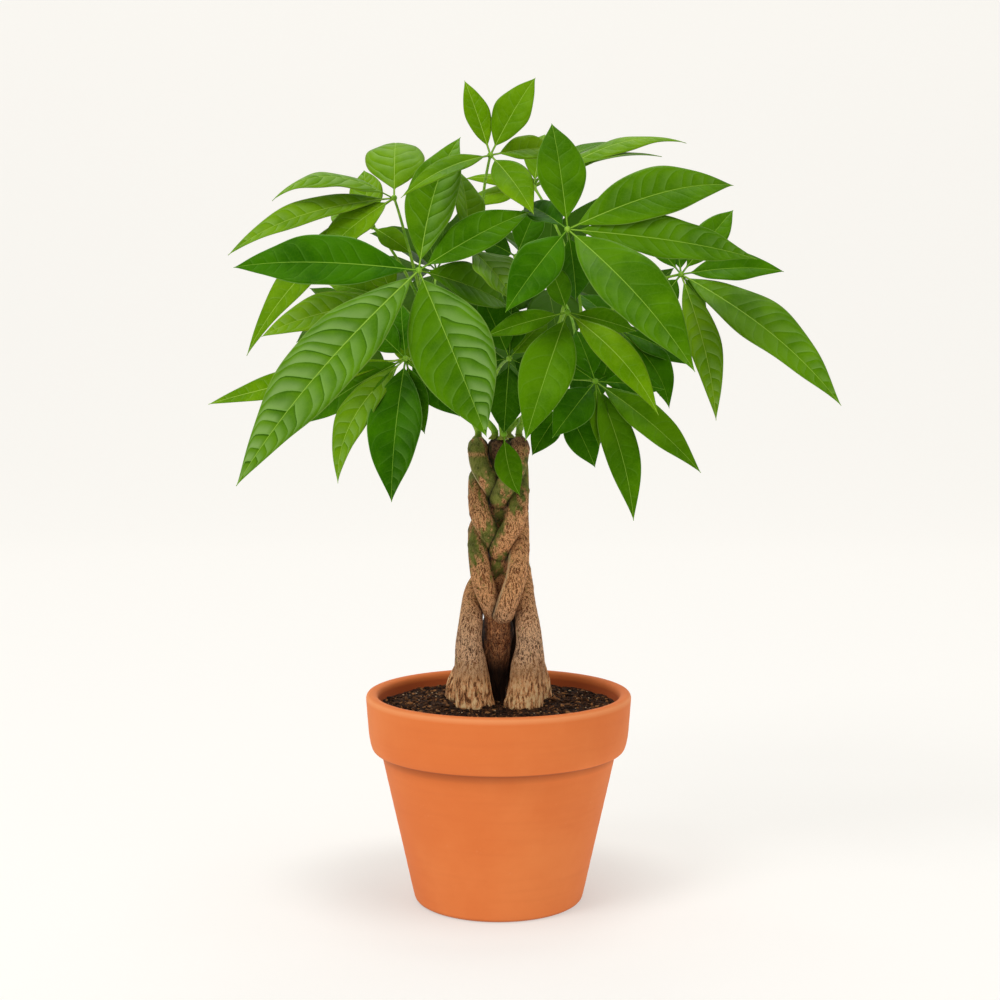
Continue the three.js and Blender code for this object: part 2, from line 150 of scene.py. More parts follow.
def sidesAlong(centres):
    # two sideways directions at each point of a middle line, turning as little as they can
    ahead = unit(np.gradient(centres, axis=0))
    side = np.zeros_like(centres)
    last = np.array([1.0, 0.01, 0.02])
    for i, way in enumerate(ahead):
        last = last - way * (last @ way)
        last = last / np.linalg.norm(last)
        side[i] = last
    return side, np.cross(ahead, side)


def rodSurface(centres, radii, around, start=0):
    # round rod: centre + radius * (cos turn * side + sin turn * other), closed by a point at each end
    side, other = sidesAlong(centres)
    turn = turns(around)[None, :, None]
    ring = np.cos(turn) * side[:, None, :] + np.sin(turn) * other[:, None, :]
    radii = radii[:, None, None] if radii.ndim == 1 else radii[..., None]
    points = centres[:, None, :] + ring * radii
    flat = np.vstack([points.reshape(-1, 3), centres[:1], centres[-1:]])
    return flat, closedFaces(len(centres), around, start)


def colour(*screen):
    # screen colour 0-255 to the linear values a shader takes
    parts = [c / 255.0 for c in screen]
    return (*(c / 12.92 if c <= 0.04045 else ((c + 0.055) / 1.055) ** 2.4 for c in parts), 1.0)


class Look:
    # a material under construction; inputs are values or the outputs of other nodes
    def __init__(self, name):
        self.material = bpy.data.materials.new(name)
        self.material.use_nodes = True
        self.nodes = self.material.node_tree.nodes
        self.links = self.material.node_tree.links
        self.surface = self.nodes["Principled BSDF"]

    def put(self, node, key, value):
        if isinstance(value, bpy.types.NodeSocket):
            self.links.new(value, node.inputs[key])
        else:
            node.inputs[key].default_value = value

    def add(self, kind, inputs=None, **settings):
        node = self.nodes.new("ShaderNode" + kind)
        for key, value in settings.items():
            setattr(node, key, value)
        for key, value in (inputs or {}).items():
            self.put(node, key, value)
        return node

    def place(self):
        return self.add("TexCoord").outputs["Object"]

    def value(self, name):
        return self.add("Attribute", attribute_name=name).outputs["Fac"]

    def noise(self, size, detail, rough, where=None, stretch=None):
        where = where or self.place()
        if stretch:
            where = self.add("Mapping", {"Vector": where, "Scale": stretch}).outputs[0]
        inputs = {"Vector": where, "Scale": size, "Detail": detail, "Roughness": rough}
        return self.add("TexNoise", inputs).outputs[0]

    def math(self, kind, a, b=0.0):
        return self.add("Math", {0: a, 1: b}, operation=kind).outputs[0]

    def times(self, a, b):
        return self.math("MULTIPLY", a, b)

    def most(self, a, b):
        return self.math("MAXIMUM", a, b)

    def rest(self, a):
        return self.math("SUBTRACT", 1.0, a)

    def fromHalf(self, a):
        return self.math("ABSOLUTE", self.math("SUBTRACT", a, 0.5))

    def span(self, value, low, high, out=(0.0, 1.0)):
        node = self.add("MapRange", {"Value": value, "From Min": low, "From Max": high,
                                     "To Min": out[0], "To Max": out[1]}, interpolation_type="SMOOTHSTEP")
        return node.outputs[0]

    def mix(self, share, a, b):
        # a and b are screen colours or the outputs of other nodes
        node = self.add("Mix", data_type="RGBA")
        for key, value in ((0, share), (6, a), (7, b)):
            self.put(node, key, colour(*value) if isinstance(value, tuple) else value)
        return node.outputs[2]

    def bump(self, height, strength, distance, normal=None):
        node = self.add("Bump", {"Height": height, "Strength": strength, "Distance": distance})
        if normal:
            self.put(node, "Normal", normal)
        return node.outputs[0]

    def coat(self, base, roughness, shine, normal=None):
        for key, value in (("Base Color", base), ("Roughness", roughness), ("Specular IOR Level", shine)):
            self.put(self.surface, key, value)
        if normal:
            self.put(self.surface, "Normal", normal)
        return self.material


pot = {
    "rimRadius": 100.0,
    "rimHeight": 158.0,
    "bandBottom": 114.5,
    "bandRadii": (94.6, 97.3),
    "wallUnderBand": 88.6,
    "footRadius": 64.0,
    "wall": 9.5,
    "floor": 11.0,
    "drainRadius": 5.0,
    "drainRing": 26.0,
    "groove": {"height": 150.5, "width": 1.6, "depth": 0.3},
    "crest": {"height": 155.8, "width": 1.5, "beyond": 97.5},
    "around": 160,
    "wallStep": 5.0,
    "lipStep": 1.4,
    "lipFrom": 146.0,
    "wavesAbove": 12.0,
    "insideBelow": 152.0,
    "footShade": 3.0,
}


def clayLook():
    look = Look("terracotta")
    mix, span = look.mix, look.span
    broad = look.noise(9.0, 5.0, 0.6)
    fine = look.noise(260.0, 3.0, 0.6)
    streak = look.noise(14.0, 4.0, 0.5, stretch=(1.0, 1.0, 14.0))
    tint = mix(span(broad, 0.35, 0.7), (230, 121, 56), (238, 134, 68))
    tint = mix(span(streak, 0.45, 0.75, (0.0, 0.12)), tint, (214, 103, 50))
    tint = mix(span(fine, 0.64, 0.78, (0.0, 0.1)), tint, (246, 168, 120))
    tint = mix(look.value("inside"), tint, (204, 98, 46))
    # painted highlight along the lip's rounded crest
    tint = mix(look.times(look.value("lip"), 0.6), tint, (255, 172, 112))
    # painted shade under the band and at the foot
    tint = mix(look.value("dark"), tint, (96, 40, 22))
    return look.coat(tint, 0.72, 0.3, look.bump(streak, 0.05, 0.0012, look.bump(fine, 0.06, 0.0006)))


def roundCorner(before, corner, after, radius):
    # points of an arc that rounds a corner of the profile
    before, corner, after = (np.array(p, dtype=float) for p in (before, corner, after))
    a, b = (corner + unit(p - corner) * min(radius, 0.45 * np.linalg.norm(p - corner)) for p in (before, after))
    t = np.linspace(0, 1, 6)[:, None]
    return (1 - t) ** 2 * a + 2 * t * (1 - t) * corner + t ** 2 * b


def potProfile():
    # outline from the middle of the foot up the outside, over the lip and down to the middle of the floor
    rim, top, band, foot = (pot[key] for key in ("rimRadius", "rimHeight", "bandBottom", "footRadius"))
    inner = rim - pot["wall"]
    bandLow, bandFull = pot["bandRadii"]
    # radius, height, rounding
    corners = [
        (0, 0, 0), (foot - 1.0, 0, 5), (foot + 1.0, 8, 3), (pot["wallUnderBand"], band, 1.6),
        (bandLow, band + 0.4, 4), (bandFull, band + 9.0, 7), (rim + 0.1, top + 0.3, 5.5),
        (inner + 0.4, top - 0.5, 3.6), (inner, top - 9, 3), (inner - 3, band + 7, 6),
        (inner - 11, band - 5, 6), (foot - 8, pot["floor"], 6), (0, pot["floor"], 0),
    ]
    rounded = []
    for i, (x, z, radius) in enumerate(corners):
        if radius:
            rounded.extend(roundCorner(corners[i - 1][:2], (x, z), corners[i + 1][:2], radius))
        else:
            rounded.append(np.array([x, z], dtype=float))
    fine = [rounded[0]]
    for a, b in zip(rounded[:-1], rounded[1:]):
        step = pot["wallStep"] if a[1] < pot["lipFrom"] else pot["lipStep"]
        cuts = max(int(np.linalg.norm(b - a) / step), 1)
        fine.extend(a + (b - a) * k / cuts for k in range(1, cuts + 1))
    return np.array(fine)


def buildPot():
    profile = potProfile()
    outer = np.arange(len(profile)) < np.argmax(profile[:, 1])
    radius, height, outer = profile[1:-1, 0], profile[1:-1, 1], outer[1:-1]
    # hand-thrown rings: a soft groove under the lip and slight waves down the outside
    groove, crest, around = pot["groove"], pot["crest"], pot["around"]
    wave = 0.05 * np.sin(height * 0.55) + 0.04 * np.sin(height * 1.3 + 1.0)
    wave = wave - groove["depth"] * bell(height, groove["height"], groove["width"])
    radius = radius + np.where(outer & (height > pot["wavesAbove"]), wave, 0.0)
    grid = ringGrid(radius, height, around)
    points = np.vstack([grid.reshape(-1, 3), [[0, 0, 0]], [[0, 0, pot["floor"]]]])

    def perPoint(values, low, high):
        return np.append(np.repeat(values.astype(float), around), [low, high])

    inside = ~outer & (height < pot["insideBelow"])
    # painted highlight: a paler band along the rounded crest of the lip's outer shoulder
    lip = bell(height, crest["height"], crest["width"]) * (radius > crest["beyond"])
    # painted shade where the wall meets the band, under its overhang, and where the foot meets the floor
    under = bell(height, pot["bandBottom"], 2.2) * (radius < pot["bandRadii"][0] - 0.6)
    dark = 0.6 * np.maximum(under, ease(1 - height / pot["footShade"])) * outer
    piece = makePiece("terracottaPot", points, closedFaces(len(grid), around), clayLook(),
                      values={"inside": perPoint(inside, 0.0, 1.0), "lip": perPoint(lip, 0.0, 0.0),
                              "dark": perPoint(dark, 0.0, 0.0)})
    # three drain holes round the middle of the floor
    cutPoints, cutFaces, start = [], [], 0
    for i in range(3):
        angle = i * 2 * np.pi / 3 + np.pi / 6
        x, y = pot["drainRing"] * np.cos(angle), pot["drainRing"] * np.sin(angle)
        rod = np.array([[x, y, z] for z in (-20.0, 0.0, 20.0)])
        flat, faces = rodSurface(rod, np.full(3, pot["drainRadius"]), 28, start)
        cutPoints.append(flat)
        cutFaces.extend(faces)
        start += len(flat)
    cutter = makePiece("drainCutter", np.vstack(cutPoints), cutFaces, piece.data.materials[0])
    hole = piece.modifiers.new("drainHoles", "BOOLEAN")
    hole.object = cutter
    hole.operation = "DIFFERENCE"
    hole.solver = "EXACT"
    bpy.context.view_layer.objects.active = piece
    piece.select_set(True)
    bpy.ops.object.modifier_apply(modifier=hole.name)
    bpy.data.objects.remove(cutter)
    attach(piece, "root")
    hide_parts("pot")


buildPot()
print("pot made")

# Feet rows: the foot's place and girth, the height where the strand parts from the braid and the stretch
# over which it does so, its outward bulge, the height and stretch over which it swells, and its joint.
# Green spots, on the front: x, z, half width, half height, amount.
braid = {
    "top": 348.0,
    "foot": 122.0,
    "halfWidth": 15.3,
    "depth": 15.0,
    "shift": 3.5,
    "linger": 1.5,
    "girth": 7.5,
    "around": 96,
    "bulge": (262, 112),
    "soilLine": 150,
    "dome": 5.0,
    "collar": 340.5,
    "underCollar": 337.5,
    "cutEnd": 341,
    "runsTogether": 217,
    "nearShade": 2.2,
    "farShade": 7.0,
    "crossings": [(105, -1.6), (166, -0.5), (194, 0), (259, 1), (298, 2), (334, 3), (374, 4)],
    "pace": [(0, 0.0), (1.6, 0.25), (3.0, 0.5), (3.6, 0.75), (5.0, 1.0)],
    "greenSpots": [
        (-16, 340, 9, 12, 1.2), (-9, 320, 8, 15, 1.2), (-11, 316, 4, 7, -1.1), (-20, 328, 5, 16, 1.0),
        (-3, 307, 6, 8, 1.0), (-7, 276, 6, 11, 0.9), (-19, 268, 7, 20, 1.0), (20, 322, 5, 20, 1.0),
        (12, 301, 6, 9, 0.8), (5, 262, 5, 4, 0.7), (1, 288, 6, 10, 1.0), (-1, 252, 6, 9, 1.0),
        (8, 318, 7, 12, 0.9),
    ],
    "feet": [
        {"node": "trunk_back_left", "x": -26, "y": 17, "girth": 15, "parts": (214, 61), "bulge": 0,
         "swells": (218, 62), "joint": 300.0},
        {"node": "trunk_back_right", "x": 25, "y": 17, "girth": 15, "parts": (214, 61), "bulge": 0,
         "swells": (218, 62), "joint": 0.0},
        {"node": "trunk_front_right", "x": 18.8, "y": -17, "girth": 14.8, "parts": (246, 76), "bulge": 4.5,
         "swells": (236, 90), "joint": 0.0},
        {"node": "trunk_centre", "x": 0, "y": 1, "girth": 6, "parts": (217, 20), "bulge": 0,
         "swells": None, "joint": 212.5},
        {"node": "trunk_front_left", "x": -17.6, "y": -17, "girth": 14.6, "parts": (246, 76), "bulge": -4.5,
         "swells": (236, 90), "joint": 261.0},
    ],
}
backLeft, backRight, frontRight, bulbStrand, frontLeft = range(5)


def strandCentres(index, heights):
    # figure of eight: x = half width * sin, y = depth * sin of twice the turn + shift * cos, easing to the foot
    levels, passed = np.array(braid["crossings"]).T
    steps, shares = np.array(braid["pace"]).T
    lean = 2 * np.pi * np.interp((index - np.interp(heights, levels, passed)) % 5, steps, shares)
    foot = braid["feet"][index]
    partsAt, over = foot["parts"]
    spread = ease((partsAt - heights) / over)
    bulgeTop, bulgeSpan = braid["bulge"]
    bulge = foot["bulge"] * np.sin(np.pi * np.clip((bulgeTop - heights) / bulgeSpan, 0, 1))
    x = braid["halfWidth"] * np.sign(np.sin(lean)) * ease(np.abs(np.sin(lean))) ** braid["linger"]
    y = braid["depth"] * np.sin(2 * lean) + braid["shift"] * np.cos(lean)
    x = x * (1 - spread) + foot["x"] * spread + bulge
    y = y * (1 - spread) + foot["y"] * spread
    return np.stack([x, y, heights], axis=1)


def strandRadii(index, centres):
    x, y, z = centres.T
    # a little fuller where it runs hidden behind the others
    hidden = ease((y + 4) / 10) * ease((13 - np.abs(x)) / 6)
    radius = braid["girth"] + 0.6 * hidden * ease((z - 205) / 20) + 0.5 * ease((300 - z) / 90)
    if index == bulbStrand:
        # neck, bulb and thin lower end
        return radius + (1.6 * ease((210 - z) / 7) - 4.6 * ease((200 - z) / 50) - 2.2 * bell(z, 212.5, 2.6))
    swellsAt, over = braid["feet"][index]["swells"]
    return radius + (braid["feet"][index]["girth"] - braid["girth"] - 0.5) * ease((swellsAt - z) / over)


def barkLook():
    # a fine pale net over brown, upright pale ridges at the foot, and smooth green skin in patches higher up
    look = Look("bark")
    mix, span, times, most = look.mix, look.span, look.times, look.most
    where = look.place()
    height = look.add("SeparateXYZ", {0: where}).outputs[2]
    broad = look.noise(60.0, 4.0, 0.6, where)
    netA = look.noise(380.0, 4.0, 0.75, where, (1.0, 1.0, 0.36))
    netB = look.noise(440.0, 3.0, 0.7, where, (1.0, 1.0, 0.4))
    netC = look.noise(400.0, 4.0, 0.75, where, (1.0, 1.2, 0.32))
    ridge = look.noise(400.0, 5.0, 0.75, where, (1.0, 1.0, 0.26))
    ragged = look.math("ADD", height, times(look.math("SUBTRACT", ridge, 0.5), 0.05))
    atFoot = span(ragged, 0.164, 0.19, (1.0, 0.0))
    above = look.rest(atFoot)
    upper = span(height, 0.2, 0.24)
    # strokes run where a noise passes its middle value
    lineA = span(look.fromHalf(netA), 0.012, 0.056, (1.0, 0.0))
    lineB = span(look.fromHalf(netB), 0.008, 0.034, (0.8, 0.0))
    lines = times(most(lineA, lineB), above)
    lines = most(lines, times(span(ridge, 0.52, 0.555), atFoot))
    pits = times(span(look.fromHalf(netC), 0.01, 0.05, (1.0, 0.0)), above)
    pits = most(pits, times(span(ridge, 0.44, 0.48, (1.0, 0.0)), atFoot))
    base = mix(span(broad, 0.42, 0.56), (118, 76, 46), (102, 72, 52))
    high = mix(span(broad, 0.4, 0.6), (140, 86, 48), (114, 69, 36))
    base = mix(atFoot, mix(upper, base, high), (226, 160, 104))
    paleLine = mix(upper, (236, 188, 144), (242, 180, 122))
    paleLine = mix(atFoot, paleLine, (255, 220, 162))
    darkPit = mix(atFoot, (70, 44, 28), (96, 56, 28))
    base = mix(times(pits, span(atFoot, 0.0, 1.0, (0.72, 0.95))), base, darkPit)
    base = mix(times(lines, 0.94), base, paleLine)
    blotch = span(look.noise(150.0, 3.0, 0.6, where), 0.36, 0.62)
    skin = mix(blotch, (60, 80, 14), (112, 126, 46))
    skin = mix(times(lines, 0.2), skin, (150, 160, 84))
    moss = look.value("moss")
    base = mix(moss, base, skin)
    bulb = mix(pits, mix(lines, (116, 62, 28), (204, 136, 84)), (58, 26, 10))
    base = mix(look.value("bulb"), base, bulb)
    # painted highlight down one side of each strand
    base = mix(look.value("glint"), base, (226, 206, 160))
    base = mix(span(look.value("crack"), 0.2, 0.95, (0.0, 0.6)), base, (44, 26, 14))
    # painted shade between and inside the strands, and the darker cut end
    base = mix(look.value("shade"), base, (22, 12, 6))
    # darker just where it meets the soil
    base = mix(span(height, 0.148, 0.153, (0.5, 0.0)), base, (48, 32, 20))
    grain = look.math("SUBTRACT", times(lines, 0.6), pits)
    grain = times(grain, span(moss, 0.0, 1.0, (1.0, 0.25)))
    return look.coat(base, 0.8, 0.25, look.bump(grain, 0.35, 0.0008))


def fissures(turn, along, seed):
    # long interlaced furrows: ridged waves that run with the stem and drift round it
    rng = np.random.default_rng(seed)
    total, weight = 0.0, 0.0
    for count in (5, 7, 9, 13):
        drift = rng.uniform(0.5, 1.2) * rng.choice([-1, 1])
        wander = 2.0 * np.cos(2 * turn + along * 0.05)
        ripple = np.sin(along * rng.uniform(0.18, 0.4) + rng.uniform(0, 6.28) + wander)
        wave = np.sin(count * turn + along * 0.02 * drift + 1.1 * ripple + rng.uniform(0, 6.28))
        share = 1.0 / (1 + abs(count - 8) * 0.15)
        total = total + share * (1 - np.abs(wave)) ** 3
        weight += share
    return total / weight


def contactShade(index, points):
    # painted shade: 1 where another strand's surface is at hand, falling off quickly over 2 mm and softly over
    # 7 mm;
    # the bulb and the back strand that runs together with it cast none on each other there
    gap = np.full(len(points), np.inf)
    for other in range(5):
        if other != index:
            centres = strandCentres(other, points[:, 2])
            away = np.hypot(*(points - centres)[:, :2].T) - strandRadii(other, centres)
            if {index, other} == {backLeft, bulbStrand}:
                away = np.where(points[:, 2] < braid["runsTogether"], np.inf, away)
            gap = np.minimum(gap, away)
    return np.maximum(ease((braid["nearShade"] - gap) / 2.0), 0.42 * ease(1 - gap / braid["farShade"]))


def strandShape(index, centres, turn, furrow, bend):
    # distance of the bark from the strand's middle line
    along = centres[:, 2:]
    radii = strandRadii(index, centres)[:, None] * (1 - 0.35 * ease((braid["soilLine"] - along) / 30))
    depth = (0.35 + 0.75 * ease((235 - along) / 70)) * (1 - 0.4 * ease((along - 330) / 15))
    place = np.stack(np.broadcast_arrays(np.cos(turn) * 14, np.sin(turn) * 14, along + 37 * index), axis=-1)
    swell = 0.35 * smoothNoise(place, 26.0, index) * (0.6 + ease((230 - along) / 60))
    # faint rings where old leaves sat
    rng = np.random.default_rng(70 + index)
    rings = sum(0.35 * bell(along - h - 1.5 * np.cos(turn + p), 0.0, 1.1)
                for h, p in zip(rng.uniform(236, 344, 5), rng.uniform(0, 6.28, 5)))
    roots = 0.5 + 0.5 * np.sin(5 * turn + index * 2.0)
    flare = 1.2 * ease((160 - along) / 14) * roots * ease((along - 146) / 6)
    shape = radii - depth * furrow + swell + rings + flare
    inward = 0.5 + 0.5 * np.cos(turn) * (1 if index in (backLeft, frontLeft) else -1)
    if index in (backLeft, backRight):
        # the back pair close up behind the bulb
        shape = shape + 4.0 * inward ** 3 * ease((217 - along) / 8) * ease((along - 150) / 10)
    if index in (frontLeft, frontRight):
        # the front pair leave room for the bulb
        shape = shape - 1.7 * inward ** 3 * bell(along, 196, 13)
    if index == backLeft:
        shape = shape + 4.5 * np.maximum(np.cos(turn - 2.36), 0) ** 2 * bell(along, 207, 8, 4)
    if index == bulbStrand:
        shape = shape + 2.0 * bell(along, 203, 6)
    # the joint where a strand dives under the next crossing, with a swelling below it
    shape = shape - (3.2 if index == bulbStrand else 1.5) * bell(bend, 0.0, 2.2) + 0.7 * bell(bend, -5, 3.5)
    # knobbly collar just under the cut end, which is domed
    knobs = 0.5 + 0.5 * np.sin(3 * turn + index) * np.sin(7 * turn + 2 * index)
    dome = np.clip((along - (braid["top"] - braid["dome"])) / braid["dome"], 0, 1)
    return (shape + 1.1 * knobs * bell(along, braid["collar"], 1.6)) * np.sqrt(1 - 0.93 * dome ** 2)


def strandMarks(index, points, turn, furrow, bend, along):
    # what steers the bark look at each point
    x, y, z = points.T
    crack = ease((furrow - 0.42) / 0.3) * (0.3 + 0.6 * ease((200 - along) / 40))
    crack = np.maximum(crack, 0.85 * bell(bend, 0.0, 1.1))
    # green skin: the listed spots in front, seeded patches behind, none on the collar
    patches = smoothNoise(points * np.array([1.0, 1.0, 0.8]), 30.0, 90 + index)
    patches = patches + 0.35 * smoothNoise(points, 9.0, 95)
    rough = 0.3 * smoothNoise(points, 7.0, 96) + 0.2 * smoothNoise(points, 3.0, 97)
    spotX, spotZ, halfX, halfZ, amount = np.array(braid["greenSpots"]).T[..., None]
    reach = np.exp(-((x - spotX) / halfX) ** 2 - ((z - spotZ) / halfZ) ** 2)
    onFront = ease(((amount * reach).sum(axis=0) + rough - 0.4) / 0.4)
    onBack = ease((z - 238) / 22) * ease((patches + 0.02) / 0.22)
    moss = onFront + (onBack - onFront) * ease((y - 8) / 4)
    moss = moss * (1 - 0.9 * bell(z, braid["underCollar"], 1.5))
    cutEnd = ease((z - braid["cutEnd"]) / 4) if index == backLeft else 0 * z
    # darkness: painted shade by the other strands, inside the braid, and between the feet and round the bulb,
    # and darker on the cut end
    side = np.abs(x)
    shades = [0.95 * contactShade(index, points), 0.6 * cutEnd,
              0.85 * ease((y - 1) / 6) * ease((15 - side) / 4) * ease((z - 225) / 10)]
    if index == bulbStrand:
        shades += [0.95 * ease((192 - z) / 20),
                   0.85 * ease((side - 7.6 + ease((195 - z) / 20)) / 2.5) * ease((208 - z) / 4)]
    else:
        shades.append(0.85 * ease((22 - side) / 12) * ease((y + 6) / 12) * ease((232 - z) / 20))
    if index in (backLeft, backRight):
        shades.append(0.95 * ease((np.abs(x + 1) - 8.5) / 2) * ease((219 - z) / 6) * ease((18 - side) / 3))
    if index in (backRight, bulbStrand):
        shades.append(0.8 * ease((z - 322) / 14))
    # the bulb's colour, which the back strand above it takes up
    bulbFrom, over = {bulbStrand: (216, 6), backLeft: (219, 4)}.get(index, (0, 1))
    bulb = 0.85 * ease((bulbFrom - z) / over) * ease((16 - side) / 4)
    # painted highlight: a pale line down one side
    glint = 0.5 * np.append(np.broadcast_to(bell(turn, 3.35, 0.16), furrow.shape).ravel(), [0.0, 0.0])
    return {"crack": np.append(crack.ravel(), [1.0, 0.2]), "moss": 0.9 * moss * (1 - cutEnd),
            "shade": np.maximum.reduce(shades), "bulb": bulb, "glint": glint * ease((z - 205) / 15)}


def buildTrunks():
    material = barkLook()
    foot, line, top, dome = (braid[key] for key in ("foot", "soilLine", "top", "dome"))
    heights = np.concatenate([np.arange(foot, line, 6.0), np.arange(line, top - dome, 1.0),
                              top - 0.2 - np.geomspace(dome - 0.2, 0.1, 12)])
    turn = turns(braid["around"])[None, :]
    along = heights[:, None]
    for index, strand in enumerate(braid["feet"]):
        centres = strandCentres(index, heights)
        furrow = fissures(turn, along, 40 + index)
        bend = along - strand["joint"] - 1.2 * np.cos(turn + 0.8)
        points, faces = rodSurface(centres, strandShape(index, centres, turn, furrow, bend), turn.size)
        piece = makePiece(pieceName("trunk", strand["node"], "trunk_"), points, faces, material,
                          values=strandMarks(index, points, turn, furrow, bend, along))
        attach(piece, "root")
        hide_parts(strand["node"])


buildTrunks()
print("trunks made")

soil = {
    "edge": 148.0,
    "middle": 150.5,
    "radius": 88.6,
    "rings": 50,
    "around": 160,
    "side": [(88.2, 144.0), (86.5, 121.5), (78.6, 109.5), (54.2, 15.5), (50.4, 11.3)],
    "bedTone": 0.05,
    "crumbs": 4500,
    "flecks": 240,
    "crumbReach": 86.0,
    "wallReach": 88.9,
}


def soilLook():
    look = Look("soil")
    mix, span = look.mix, look.span
    grain = look.noise(420.0, 5.0, 0.7)
    clump = look.noise(90.0, 3.0, 0.6)
    tone = look.value("tone")
    base = mix(span(grain, 0.42, 0.6), (12, 6, 3), (84, 50, 28))
    base = mix(span(clump, 0.4, 0.65, (0.0, 0.6)), base, (34, 19, 11))
    base = mix(span(tone, 0.05, 0.7), base, (158, 108, 64))
    base = mix(span(tone, 0.7, 1.0), base, (224, 196, 158))
    return look.coat(base, 0.92, 0.2, look.bump(grain, 0.7, 0.0015))


def soilHeight(x, y):
    radius = np.hypot(x, y)
    place = np.stack([x, y, 0 * x], axis=-1)
    base = soil["middle"] - (soil["middle"] - soil["edge"]) * ease((radius - 40) / 50)
    for share, size, seed in ((0.7, 22.0, 5), (0.45, 7.0, 6), (0.25, 3.2, 7)):
        base = base + share * smoothNoise(place, size, seed)
    return base


def buildSoil():
    material = soilLook()
    around = soil["around"]
    top = ringGrid(np.linspace(1.5, soil["radius"], soil["rings"]), np.zeros(soil["rings"]), around)
    top[..., 2] = soilHeight(top[..., 0], top[..., 1])
    grid = np.concatenate([top, ringGrid(*zip(*soil["side"]), around)])
    middle = soilHeight(np.array(0.0), np.array(0.0))
    points = np.vstack([grid.reshape(-1, 3), [[0, 0, middle]], [[0, 0, soil["side"][-1][1]]]])
    bed = makePiece("soilBed", points, closedFaces(len(grid), around, flip=True), material,
                    values={"tone": np.full(len(points), soil["bedTone"])})
    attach(bed, "root")
    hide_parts("soil")
    # crumbs: squashed and bent little lumps half sunk in the bed, a few of them pale bark or grit
    rng = np.random.default_rng(11)
    flecks = slice(soil["crumbs"], None)
    count = soil["crumbs"] + soil["flecks"]
    radius = np.sqrt(rng.uniform(0, 1, count)) * soil["crumbReach"]
    angle = rng.uniform(0, 2 * np.pi, count)
    x, y = radius * np.cos(angle), radius * np.sin(angle)
    size = np.minimum(rng.gamma(3.0, 0.24, count) + 0.4, 2.2)
    tone = 0.7 * rng.uniform(0.0, 1.0, count) ** 4
    tone[flecks] = rng.uniform(0.75, 1.0, soil["flecks"])
    size[flecks] = rng.uniform(0.35, 0.95, soil["flecks"])
    g = (1 + 5 ** 0.5) / 2
    ball = unit(np.array([[-1, g, 0], [1, g, 0], [-1, -g, 0], [1, -g, 0], [0, -1, g], [0, 1, g],
                          [0, -1, -g], [0, 1, -g], [g, 0, -1], [g, 0, 1], [-g, 0, -1], [-g, 0, 1]]))
    sides = np.array([[0, 11, 5], [0, 5, 1], [0, 1, 7], [0, 7, 10], [0, 10, 11], [1, 5, 9], [5, 11, 4],
                      [11, 10, 2], [10, 7, 6], [7, 1, 8], [3, 9, 4], [3, 4, 2], [3, 2, 6], [3, 6, 8],
                      [3, 8, 9], [4, 9, 5], [2, 4, 11], [6, 2, 10], [8, 6, 7], [9, 8, 1]])
    lumps = ball[None] * rng.uniform(0.65, 1.25, (count, 12, 1))
    ranges = ((0.7, 2.0), (0.5, 1.0), (0.45, 0.8))
    stretch = np.stack([rng.uniform(low, high, count) for low, high in ranges], axis=1)
    lumps = lumps * stretch[:, None, :] * size[:, None, None]
    spin = rng.uniform(0, 2 * np.pi, count)
    cosine, sine = np.cos(spin)[:, None], np.sin(spin)[:, None]
    turned = np.stack([lumps[..., 0] * cosine - lumps[..., 1] * sine,
                       lumps[..., 0] * sine + lumps[..., 1] * cosine, lumps[..., 2]], axis=-1)
    z = soilHeight(x, y) + size * rng.uniform(-0.1, 0.35, count)
    points = turned + np.stack([x, y, z], axis=1)[:, None, :]
    reach = np.hypot(points[..., 0], points[..., 1])
    points[..., :2] *= (np.minimum(reach, soil["wallReach"]) / np.maximum(reach, 1e-6))[..., None]
    faces = (sides[None] + 12 * np.arange(count)[:, None, None]).reshape(-1, 3)
    crumbs = makePiece("soilCrumbs", points.reshape(-1, 3), [faces], material, smooth=False,
                       values={"tone": np.repeat(tone, 12)})
    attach(crumbs, "root")


buildSoil()
print("soil made")
